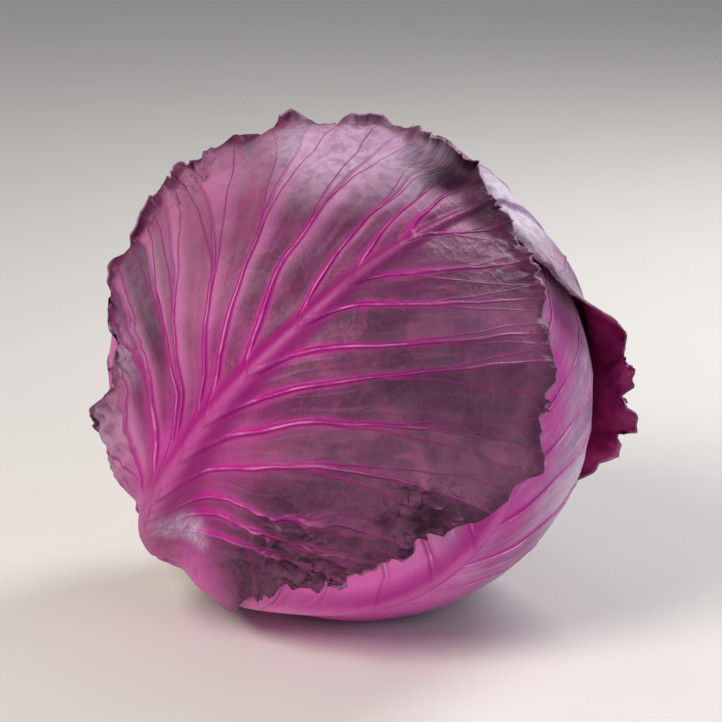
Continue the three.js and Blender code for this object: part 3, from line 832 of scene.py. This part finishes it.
# the patches are p, q and reach in millimetres on the flat leaf, and strength: wax is thick wax, partly a
# painted sheen, dark is darker purple, partly painted shade, the nearly black patches are painted shade under
# rolled margins and overlapping leaves and in withered holes, rosy and glow are two magentas, paleEdge is a
# margin that stays pale, the slit patches are thin lines of painted shade in withered, slit places and the
# scuff patches are pale streaks of rubbed wax, partly painted highlight
skins = {
    "frontSkin": {
        "deep": "3E0C30", "middle": "7C2858", "glow": "B21A88", "petiole": "964278", "stalk": "AC5C8C",
        "rib": "B00C88", "ribTip": "7C2262", "crest": "EC90CC", "crestTip": "BC789E", "midrib": "9C0876",
        "vein": "9C4E86", "wax": "C6A4C2", "waxShare": 0.1, "margin": "480F38", "shadeAndFlecks": "220518",
        "rosy": "DC5EB6", "glowReach": 40.0, "crestShows": (0.8, 0.2),
        "patches": {
            "wax": [(-52, 74, 44, 0.85), (-70, 44, 30, 0.35), (-26, 84, 26, 0.5), (8, -82, 20, 0.4),
                    (-26, -60, 26, 0.5), (-42, -32, 18, 0.5), (-58, -10, 40, 0.2), (-84, 24, 30, 0.25)],
            "dark": [(14, 42, 24, 0.85), (34, 36, 26, 0.9), (48, 16, 28, 0.65), (36, 0, 22, 0.6),
                     (30, -22, 20, 0.35), (-44, 20, 20, 0.35), (58, -10, 24, 0.3), (64, 42, 30, 0.65),
                     (40, 66, 34, 0.3)],
            "shadeAndFlecks": [(-20, 106, 24, 1.0), (4, 104, 18, 0.9), (68, 5, 8, 0.8), (60, -4, 5, 0.6),
                      (46, -40, 4, 0.6)],
            "rosy": [(14, -94, 44, 0.9), (-4, -40, 14, 0.3)],
            "paleEdge": [(52, -48, 44, 0.9)],
            "shadedSlits": [(69, 5, 20, 1.0), (50, -36, 24, 0.9), (36, -58, 15, 0.8), (-88, 22, 16, 0.7)],
            "scuffsAndHighlights": [(14, -62, 12, 1.0), (-36, 96, 20, 0.4), (-72, 60, 16, 0.4)],
        },
    },
    "rightSkin": {
        "deep": "6E3C62", "middle": "9A7296", "glow": "B868A2", "petiole": "C78CB6", "stalk": "D8B0CC",
        "rib": "A83886", "ribTip": "946090", "crest": "CE8CC0", "crestTip": "C4A2BE", "midrib": "B04494",
        "vein": "B084AC", "wax": "E8DCE8", "waxShare": 0.5, "margin": "4E1A3E", "glowReach": 40.0,
        "patches": {
            "wax": [(0, 112, 40, 1.0), (30, 60, 50, 0.5)],
            "dark": [(-30, 20, 34, 0.4)],
            "scuffsAndHighlights": [(10, 100, 30, 0.6)],
        },
    },
    "lowerSkin": {
        "deep": "8C487E", "middle": "A872A0", "glow": "C4289A", "petiole": "E666BC", "stalk": "E890C8",
        "rib": "B4248E", "ribTip": "B0308E", "crest": "F4B4E0", "crestTip": "ECC8E2", "midrib": "B81C8E",
        "vein": "C86CB0", "wax": "E2D2E6", "waxShare": 0.2, "margin": "6A2458", "shadeAndFlecks": "5A0A44",
        "rosy": "F670CC", "glowReach": 50.0, "ribsShow": (-0.4, 0.1), "crestShows": (1.0, 0.9),
        "fibres": (0.8, 0.6), "halo": (1.0, 0.9),
        "patches": {
            "wax": [(54, 20, 34, 0.8), (44, -24, 30, 0.6)],
            "shadeAndFlecks": [(24, 76, 20, 0.5)],
            "rosy": [(-16, -44, 56, 0.85)],
            "glow": [(6, 14, 18, 0.7), (9, 30, 16, 0.85), (11, 45, 15, 0.85), (12, 60, 15, 0.8),
                     (19, 74, 18, 0.6)],
            "scuffsAndHighlights": [(40, 40, 40, 0.3)],
        },
    },
    "leftSkin": {
        "deep": "6E2C5E", "middle": "98508A", "glow": "B8509C", "petiole": "C070A8", "stalk": "D0A0C0",
        "rib": "9C1E7C", "ribTip": "8A3674", "crest": "C874B0", "crestTip": "B47CA6", "midrib": "AC2488",
        "vein": "A85C98", "wax": "CDB4CC", "waxShare": 0.4, "margin": "4A183C", "rosy": "E452B0",
        "glowReach": 50.0,
        "patches": {
            "wax": [(-20, 60, 60, 0.3)],
            "dark": [(-40, 20, 40, 0.3)],
            "rosy": [(76, -54, 36, 0.8)],
            "scuffsAndHighlights": [(0, 0, 60, 0.2)],
        },
    },
    "backSkin": {
        "deep": "5A2650", "middle": "864878", "glow": "A84A90", "petiole": "B878A6", "stalk": "CCA4C0",
        "rib": "981C7A", "ribTip": "803472", "crest": "C06CAA", "crestTip": "AC76A0", "midrib": "A82486",
        "vein": "9C528A", "wax": "C2AAC4", "waxShare": 0.42, "margin": "42163A", "glowReach": 46.0,
        "patches": {
            "wax": [(0, 60, 60, 0.3)],
            "dark": [(30, -10, 40, 0.3)],
            "scuffsAndHighlights": [(0, 40, 60, 0.2)],
        },
    },
}


def leafSkin(name):
    look = {**usual, **skins[name]}
    material, add = newMaterial(name)
    plane = add("UVMap", {"uv_map": "leafPlane"})
    names = ("ribs", "forks", "place")
    kept = [add("Attribute", {"attribute_name": each}).outputs["Vector"] for each in names]
    ribs, forks, place, flat = (add("SeparateXYZ", None, each).outputs for each in (*kept, plane))
    phase, ribScale, share = ribs
    inside, keelAside = place[0], place[1]
    waxAndSheenSpots, darkAndShadeSpots, shadeAndFlecks, rosySpots, glowSpots, slitShadeSpots, paleEdge, scuffAndHighlightSpots = (
        spots(add, plane, look["patches"].get(kind, ()))
        for kind in ("wax", "dark", "shadeAndFlecks", "rosy", "glow", "shadedSlits", "paleEdge", "scuffsAndHighlights")
    )
    clouds, blotches, mottle, grain, ripples, specks = (
        add("TexNoise", None, plane, perUnit / apart, octaves, roughness, Distortion=distortion)
        for apart, octaves, roughness, distortion in clouding.values()
    )
    drawn = add("Mapping", None, plane, Rotation=(0, 0, -0.5), Scale=(1, 0.2, 1))
    streaks = add("TexNoise", None, drawn, perUnit / look["streakWidth"], 4, 0.7)

    # nearness to the side ribs, their forks and the midrib's keel, in half widths of each
    ribAside = add("Math", multiply, add("Math", foldBack, phase, 0.5), ribScale)
    keel = add("Math", positive, keelAside)
    ribHere = shown(add, (keel, 0.5, 1.3), (flat[1], *look["ribsShow"], 0.2, 1.0))
    # where the painted highlight along each rib's crest goes
    crest = shown(add, (ribAside, 0.1, 0.75, 1.0, 0.0), ribHere)
    forkAside = add("Math", smallest, *[add("Math", positive, each) for each in forks[:2]])

    # the net of small veins between the ribs
    warp = add("TexNoise", None, plane, perUnit / look["netBends"], 2.0).outputs["Color"]
    warped = add("VectorMath", multiplyAdd, warp, (0.05, 0.05, 0), plane)
    net = add("TexVoronoi", cellEdges, warped, perUnit / look["veinNet"])
    fineNet = add("TexVoronoi", cellEdges, warped, perUnit / look["fineVeinNet"])

    # fibres that run along the panels, a few to each
    side = add("Math", {"operation": "SIGN"}, flat[0])
    panels = add("CombineXYZ", None, phase, share, side)
    panels = add("VectorMath", multiply, panels, (4.5, 2.4, 5.0))
    fibres = add("TexNoise", None, panels, 1.0, 4, 0.6)
    between = shown(add, (ribAside, 1.2, 3.0), (share, 0.35, 0.9, *look["fibres"]))

    # every panel between two ribs has its own depth of colour
    panel = add("Math", multiplyAdd, side, 0.37, add("Math", {"operation": "FLOOR"}, phase))
    chance = add("TexWhiteNoise", {"noise_dimensions": "1D"}, panel)
    within = add("Math", {"operation": "FRACT"}, phase)
    away = add("MapRange", soft, share, 0.12, 0.4)

    # where the magenta shows through, where the wax is thick, partly a painted sheen, and the painted shade
    # of withered slits
    aside = add("Math", positive, flat[0])
    ragged = add("Math", multiplyAdd, blotches, 16.0, inside)
    fresh = add("Math", minus, 1.0, paleEdge)
    wax = add("MapRange", soft, clouds, 0.32, 0.68, 0.03, look["waxShare"])
    # patches of thick wax, partly a painted sheen
    wax = add("Math", largest, wax, waxAndSheenSpots)
    wax = shown(add, wax, (mottle, 0.42, 0.62, 1.0, 0.62), (shadeAndFlecks, 0.0, 1.0, 1.0, 0.1))
    slitShade = add("Math", positive, add("MapRange", None, ripples, 0.0, 1.0, -0.5, 0.5))
    slitShade = shown(add, (slitShade, 0.012, 0.045, 1.0, 0.0), (mottle, 0.46, 0.52), slitShadeSpots)

    ribTint = layered(add, look["rib"], [(look["ribTip"], (share, 0.15, 0.85))])
    crestTint = layered(add, look["crest"], [(look["crestTip"], (share, 0.1, 0.8))])
    keelTint = layered(add, look["midrib"], [(look["ribTip"], (flat[1], -0.1, 0.95))])
    stalk = layered(add, look["petiole"], [(look["stalk"], (streaks, 0.35, 0.7))])
    keelTint = layered(add, stalk, [(keelTint, (flat[1], -0.75, -0.3))])
    skin = layered(add, look["deep"], [
        (look["middle"], (clouds, 0.36, 0.64)),
        (look["glow"], (mottle, 0.4, 0.7, 0.0, 0.12)),
        (look["deep"], (mottle, 0.5, 0.36, 0.0, 0.3)),
        (look["deep"], (chance, 0.55, 0.8, 0.0, 0.55), away),
        (look["crestTip"], (chance, 0.2, 0.45, 0.25, 0.0), away),
        (look["crestTip"], (fibres, 0.5, 0.72, 0.0, 0.6), between),
        (look["deep"], (fibres, 0.46, 0.3, 0.0, 0.6), between),
        (look["glow"], (aside, 0.02, look["glowReach"] / perUnit, 0.85, 0.0), (flat[1], -0.7, 0.3, 1.0, 0.1)),
        (look["glow"], (ribAside, 1.0, 4.6, 0.6, 0.0), (share, 0.1, 0.85, *look["halo"])),
        # painted highlight beside each rib on its side towards the tip, strongest on the left half
        (look["crest"], (within, 0.1, 0.5, 0.27, 0.0), (flat[0], -0.2, 0.1, 1.0, 0.2), away),
        # darker purple in patches, partly painted shade
        (look["deep"], darkAndShadeSpots, (blotches, 0.42, 0.53, 0.35, 1.0)),
        (look["petiole"], (flat[1], -1.05, -0.6, 0.8, 0.0)),
        (look["vein"], (fineNet, 0.02, 0.12, 0.06, 0.0)),
        (look["vein"], (net, 0.01, 0.05, 0.1, 0.0), (blotches, 0.4, 0.6)),
        (look["wax"], wax),
        (look["rosy"], rosySpots),
        (look["glow"], glowSpots),
        (look["margin"], (ragged, 7.5, 17.0, 0.85, 0.0), fresh),
        (look["shadeAndFlecks"], (specks, 0.42, 0.7), (inside, 3.0, 14.0, 0.4, 0.0)),
        (look["crestTip"], (forks[2], 0.1, 0.9, 0.0, 0.6)),  # painted highlight on withered ridges, and painted shade in the hollows between them
        (look["shadeAndFlecks"], (forks[2], -0.2, -0.9, 0.0, 0.3)),
        # painted shade in the withered slits
        (look["shadeAndFlecks"], slitShade),
        # the ribs' and forks' own magenta, which on their flanks also stands for painted shade
        (ribTint, (forkAside, 0.6, 2.0, 1.0, 0.0), (share, 0.2, 0.5), 0.75),
        (ribTint, (ribAside, 0.9, 2.3, 1.0, 0.0), ribHere, (share, 0.45, 1.0, 0.7, 0.3)),
        # painted highlight along the rib crests, broken up in places
        (crestTint, crest, (blotches, 0.42, 0.6, 0.15, 1.0), (share, 0.0, 1.0, *look["crestShows"])),
        (keelTint, (keel, 0.7, 1.9, 1.0, 0.0), (flat[1], -1.1, -0.7, 0.6, 0.85)),
        # painted highlight along the midrib's crest
        (look["crest"], (keel, 0.1, 0.7, 1.0, 0.0), (flat[1], -0.5, 0.3, 0.18, 0.12)),
        # painted shade under rolled margins and overlapping leaves, and in withered holes
        (look["shadeAndFlecks"], shadeAndFlecks, 0.92),
        # pale streaks of rubbed wax, partly painted highlight
        (look["scuffAndHighlight"], scuffAndHighlightSpots, (streaks, 0.35, 0.75, 0.25, 1.0)),
        # painted highlight along the very margin
        (look["rimHighlightAndSpots"], (inside, 0.1, 0.6, 0.5, 0.0)),
    ])

    # relief too fine for the mesh, in millimetres
    inward = add("MapRange", soft, share, 0.55, 0.95, 1.0, 0.15)
    relief = 0.0
    for height in (
        ((forkAside, 0.2, 1.8, 0.22, 0.0), inward),
        ((ribAside, 0.2, 1.7, 0.3, 0.0), inward),
        (specks, (inside, 3.0, 16.0, 0.3, 0.1)),
        ((net, 0.0, 0.12, 0.05, 0.0),),
        (fibres, between, 0.5),
        (mottle, (inward, 0.15, 1.0, 0.12, 0.5)),
        (grain, 0.08),
        (streaks, 0.08),
        (blotches, (inside, 2.0, 16.0, 0.7, 0.3)),
    ):
        relief = add("Math", plus, relief, shown(add, *height))
    bump = add("Bump", None, Height=relief, Distance=mm)

    # waxed places are matt, and ribs and bare places have a soft shine
    rough = add("MapRange", soft, wax, 0.0, 0.8, 0.4, 0.66)
    rough = add("Math", largest, rough, add("MapRange", soft, shadeAndFlecks, 0.0, 0.6, 0.4, 0.6))
    shine = add("Math", largest, shown(add, crest, inward), add("MapRange", soft, forks[2], 0.1, 0.9))
    rough = add("Math", multiplyAdd, shine, -0.2, rough)
    rough = add("Math", multiplyAdd, grain, 0.1, rough)
    shader = add("BsdfPrincipled", None, Base_Color=skin, Roughness=rough, Normal=bump,
                 IOR=look["refraction"], Specular_IOR_Level=look["gloss"],
                 Subsurface_Weight=look["glowShare"], Subsurface_Radius=look["glowSpread"],
                 Subsurface_Scale=look["glowLength"])
    add("OutputMaterial", None, shader)
    return material


innerLook = {
    # edge is a painted highlight along the margin
    "dark": "8E0E56", "light": "BE3482", "vein": "BE5C98", "edge": "CE86AE", "roughness": 0.42,
    "cloudSize": 12.0,  # millimetres
    "puckerSize": 4.5,
}


def innerFace():
    # the leaf's inner face: burgundy and glossier than the outer one, with the veins sunk into it and a
    # painted highlight along its margin
    material, add = newMaterial("innerFace")
    plane = add("UVMap", {"uv_map": "leafPlane"})
    kept = [add("Attribute", {"attribute_name": each}).outputs["Vector"] for each in ("ribs", "place")]
    ribs, place = (add("SeparateXYZ", None, each).outputs for each in kept)
    ribAside = add("Math", multiply, add("Math", foldBack, ribs[0], 0.5), ribs[1])
    sunk = add("MapRange", soft, ribAside, 0.5, 1.6, 1.0, 0.0)
    clouds = add("TexNoise", None, plane, perUnit / innerLook["cloudSize"], 4, 0.6)
    puckers = add("TexNoise", None, plane, perUnit / innerLook["puckerSize"], 4, 0.55)
    skin = layered(add, innerLook["dark"], [
        (innerLook["light"], (clouds, 0.35, 0.7)),
        (innerLook["vein"], sunk, 0.4),
        # painted highlight along the margin
        (innerLook["edge"], (place[0], 0.4, 2.2, 0.7, 0.0)),
    ])
    bump = add("Bump", None, Height=add("Math", multiplyAdd, sunk, -0.4, puckers), Distance=mm)
    shader = add("BsdfPrincipled", None, Base_Color=skin, Roughness=innerLook["roughness"],
                 IOR=usual["refraction"], Normal=bump)
    add("OutputMaterial", None, shader)
    return material


tornLook = {"fresh": "6A2E58", "roughness": 0.35, "spotSize": 3.0}


def tornEdge():
    # the leaf's thin torn edge, paler and wetter than either face
    material, add = newMaterial("tornEdge")
    where = add("TexCoord").outputs["Object"]
    spotted = add("TexNoise", None, where, perMetre / tornLook["spotSize"], 3, 0.6)
    # spotted in the pale colour of the painted highlight along the outer skin's margin
    skin = layered(add, tornLook["fresh"], [(usual["rimHighlightAndSpots"], (spotted, 0.35, 0.65))])
    shader = add("BsdfPrincipled", None, Base_Color=skin, Roughness=tornLook["roughness"],
                 IOR=usual["refraction"])
    add("OutputMaterial", None, shader)
    return material


innerSkin, edgeSkin = innerFace(), tornEdge()
for order, leaf in enumerate(leaves):
    skin = makeLeaf(order, leaf)
    for material in (leafSkin(leaf["look"]), innerSkin, edgeSkin):
        skin.data.materials.append(material)
    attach(skin, "root")
    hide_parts(leaf["name"])
    print("leaf made:", skin.name, len(skin.data.polygons), "quads")


heart = {
    "seams": 3,  # leaf edges that wind round it from the crown
    "seamDepth": 1.2,
    "clearance": 0.6,
    "lift": 4.2,
    "swelling": 0.5,
    "pale": "CDAECB",
    "deep": "8C4F80",
    "vein": "DCBCD6",
    "roughness": 0.42,
    "cloudSize": 20.0,
    "veinNet": 9.0,
    "seed": 21,
}


def makeHeart():
    # the dense heart, wound in the edges of its own tight leaves
    bm = bmesh.new()
    bmesh.ops.create_icosphere(bm, subdivisions=7, radius=1)
    mesh, direction = meshFrom(bm, "heart_ball")
    direction = direction.astype(float)
    direction /= np.linalg.norm(direction, axis=1, keepdims=True)
    fromCrown = np.arccos(np.clip(direction[:, 2], -1, 1)) / math.pi
    turn = np.arctan2(direction[:, 1], direction[:, 0]) / (2 * math.pi)
    winding = ((turn + 0.5 + 0.35 * fromCrown) * heart["seams"]) % 1
    belt = np.clip(np.sin(math.pi * fromCrown), 0, 1)
    sunk = heart["seamDepth"] * belt * winding * ease(1 - winding, 0, 0.03)
    x, y, z = direction.T
    swelling = heart["swelling"] * smoothNoise(5 * x + 9, 5 * y + 4 * z + 9, heart["seed"])
    radius = coreRadius(direction) - heart["clearance"] - sunk + swelling - heart["swelling"]
    radius = keepAbove(direction, radius, heart["lift"])
    movePoints(mesh, laid(direction * radius[:, None]))
    addAttribute(mesh, "winding", winding)
    return addObject("heart_ball", mesh)


def heartSkin():
    # the tight leaves of the heart: pale where they never saw light, and darker towards each edge
    material, add = newMaterial("heartSkin")
    where = add("TexCoord").outputs["Object"]
    winding = add("Attribute", {"attribute_name": "winding"}).outputs["Fac"]
    clouds = add("TexNoise", None, where, perMetre / heart["cloudSize"], 4, 0.55)
    net = add("TexVoronoi", {"feature": "DISTANCE_TO_EDGE"}, where, perMetre / heart["veinNet"])
    skin = layered(add, heart["deep"], [
        (heart["pale"], (clouds, 0.3, 0.7)),
        (heart["vein"], (net, 0.01, 0.05, 0.5, 0.0)),
        (heart["deep"], (winding, 0.0, 0.2, 0.6, 0.0)),
    ])
    bump = add("Bump", None, Height=add("MapRange", soft, net, 0.0, 0.08, 0.3, 0.0), Distance=mm)
    shader = add("BsdfPrincipled", None, Base_Color=skin, Roughness=heart["roughness"],
                 IOR=usual["refraction"], Normal=bump)
    add("OutputMaterial", None, shader)
    return material


stem = {
    "inner": 70.0,  # both ends measured from the heart's centre
    "cut": 81.0,
    "shoulder": 2.0,
    "facets": 96,
    "unevenness": 0.35,  # how far the sawn face and the bark stray from true
    "pithSinks": 1.2,  # the pith dries and sinks into the sawn face
    "roughness": 0.6,
    "fibreSize": 1.6,
    "cloudSize": 6.0,
    "strandSize": 1.5,
    "seed": 31,
    "pith": "EFE3C9",
    "wood": "D2BC94",
    "strand": "A88C62",
    "dried": "B08E62",
    "fibre": "C9B287",
    "bark": "B99AAE",
}


def makeStem():
    # the stem's short butt, sawn across, with a slightly rounded shoulder
    bm = bmesh.new()
    profile = [(0.0, stem["inner"]), (stemRadius, stem["inner"])]
    profile += [(stemRadius, stem["inner"] + 3.0 * i) for i in (1, 2)]
    reach = stemRadius - stem["shoulder"]
    for i in range(5):
        turn = math.radians(22.5 * i)
        profile.append((reach + stem["shoulder"] * math.cos(turn),
                        stem["cut"] - stem["shoulder"] * (1 - math.sin(turn))))
    profile += [(reach * (1 - i / 12), stem["cut"]) for i in range(1, 13)]
    line = [bm.verts.new((r, 0, -z)) for r, z in profile]
    edges = [bm.edges.new(pair) for pair in zip(line, line[1:])]
    bmesh.ops.spin(bm, geom=line + edges, cent=(0, 0, 0), axis=(0, 0, 1), angle=2 * math.pi,
                   steps=stem["facets"], use_merge=True)
    bmesh.ops.remove_doubles(bm, verts=bm.verts, dist=0.001)
    bmesh.ops.recalc_face_normals(bm, faces=bm.faces)
    mesh, place = meshFrom(bm, "stem_butt")
    place = place.astype(float)
    rings = np.hypot(place[:, 0], place[:, 1])
    turn = np.arctan2(place[:, 1], place[:, 0])
    out = ease(rings, stemRadius - 3, stemRadius - 1)
    grooves = smoothNoise(12 * np.cos(turn) + 20, 12 * np.sin(turn) + 20, stem["seed"])
    place[:, :2] *= (1 - stem["unevenness"] / stemRadius * out * (1 + grooves))[:, None]
    sawn = planeNoise(place, 2.5, 9, stem["seed"] + 1)
    onCut = ease(-place[:, 2], stem["cut"] - 0.6, stem["cut"])
    place[:, 2] += stem["unevenness"] * onCut * (1 + sawn)
    place[:, 2] += stem["pithSinks"] * onCut * (1 - ease(rings, 0, 9))
    movePoints(mesh, laid(place))
    addAttribute(mesh, "ring", rings / stemRadius)
    addAttribute(mesh, "cutFace", onCut)
    return addObject("stem_butt", mesh)


def stemSkin():
    # the sawn stem: pale, damp pith inside a ring of woody strands, browned where it dried
    material, add = newMaterial("sawnStem")
    where = add("TexCoord").outputs["Object"]
    ring = add("Attribute", {"attribute_name": "ring"}).outputs["Fac"]
    cutFace = add("Attribute", {"attribute_name": "cutFace"}).outputs["Fac"]
    fibres = add("TexNoise", None, where, perMetre / stem["fibreSize"], 5, 0.6)
    clouds = add("TexNoise", None, where, perMetre / stem["cloudSize"], 4, 0.6)
    strands = add("TexVoronoi", {"feature": "F1"}, where, perMetre / stem["strandSize"]).outputs["Distance"]
    ragged = add("Math", multiplyAdd, clouds, 0.12, ring)
    woody = add("MapRange", soft, ragged, 0.6, 0.72)
    skin = layered(add, stem["pith"], [
        (stem["wood"], woody, 0.55),
        (stem["strand"], woody, (strands, 0.15, 0.4, 0.7, 0.0)),
        (stem["dried"], (clouds, 0.5, 0.75, 0.0, 0.45)),
        (stem["fibre"], (fibres, 0.5, 0.8, 0.0, 0.4)),
        (stem["bark"], (ragged, 0.94, 1.02)),
        (stem["bark"], (cutFace, 0.0, 0.5, 0.8, 0.0)),
    ])
    bump = add("Bump", None, Height=add("Math", plus, fibres, strands), Distance=0.6 * mm)
    shader = add("BsdfPrincipled", None, Base_Color=skin, Roughness=stem["roughness"], Normal=bump)
    add("OutputMaterial", None, shader)
    return material


for name, made, material in (("heart", makeHeart(), heartSkin()), ("stem", makeStem(), stemSkin())):
    made.data.materials.append(material)
    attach(made, "root")
    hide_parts(name)
print("heart and stem made")


studio = {
    "floor": "E4E1DE",
    "floorHaze": "D6D2CE",
    "hazeSize": 60.0,
    "world": "DCDDE0",
    "worldStrength": 0.34,
    "lights": [
        # name, azimuth, elevation, distance in metres, size, watts, colour
        ("keyLight", -46, 40, 0.9, 0.5, 6.8, "FFF6EC"),
        ("fillLight", 44, 16, 1.1, 0.8, 2.7, "EEF2FF"),
        ("rimLight", 135, 40, 0.9, 0.4, 5.0, "FFFFFF"),
    ],
}


def makeFloor():
    bm = bmesh.new()
    bmesh.ops.create_grid(bm, x_segments=4, y_segments=4, size=3)
    mesh, _ = meshFrom(bm, "floor")
    floor = addObject("floor", mesh)
    material, add = newMaterial("paintedFloor")
    where = add("TexCoord").outputs["Object"]
    clouds = add("TexNoise", None, where, perMetre / studio["hazeSize"], 3)
    skin = layered(add, studio["floor"], [(studio["floorHaze"], (clouds, 0.3, 0.7, 0.0, 0.12))])
    shader = add("BsdfPrincipled", None, Base_Color=skin, Roughness=0.7)
    add("OutputMaterial", None, shader)
    mesh.materials.append(material)


def aim(thing, target, azimuth, elevation, distance):
    a, e = math.radians(azimuth), math.radians(elevation)
    back = Vector((math.sin(a) * math.cos(e), -math.cos(a) * math.cos(e), math.sin(e)))
    thing.location = target + back * distance
    thing.rotation_euler = (-back).to_track_quat("-Z", "Y").to_euler()


def makeLights():
    middle = Vector((0, 0, head["height"] * mm))
    for name, azimuth, elevation, distance, size, watts, tint in studio["lights"]:
        data = bpy.data.lights.new(name, "AREA")
        data.shape, data.size, data.energy = "DISK", size, watts
        data.color = colour(tint)[:3]
        aim(addObject(name, data), middle, azimuth, elevation, distance)
    world = bpy.data.worlds.new("studio")
    world.use_nodes = True
    back = world.node_tree.nodes["Background"]
    back.inputs[0].default_value = colour(studio["world"])
    back.inputs[1].default_value = studio["worldStrength"]
    bpy.context.scene.world = world
    bpy.context.scene.view_settings.view_transform = "Standard"  # keeps the leaves' strong purples


view = {
    "azimuth": 0,
    "elevation": 15,
    "distance": 1.0,  # metres
    "lens": 156.25,
    "aside": 4.8,  # how far beside and above the head's middle it aims, in millimetres
    "above": 3.52,
}


def makeCamera():
    data = bpy.data.cameras.new("camera")
    data.lens, data.sensor_width = view["lens"], 36
    camera = addObject("camera", data)
    tilt = math.radians(view["elevation"])
    offset = Vector((view["aside"], view["above"] * math.sin(tilt), view["above"] * math.cos(tilt)))
    target = (Vector((0, 0, head["height"])) + offset) * mm
    aim(camera, target, view["azimuth"], view["elevation"], view["distance"])
    bpy.context.scene.camera = camera


makeFloor()
makeLights()
makeCamera()
print("floor, lights and camera made")
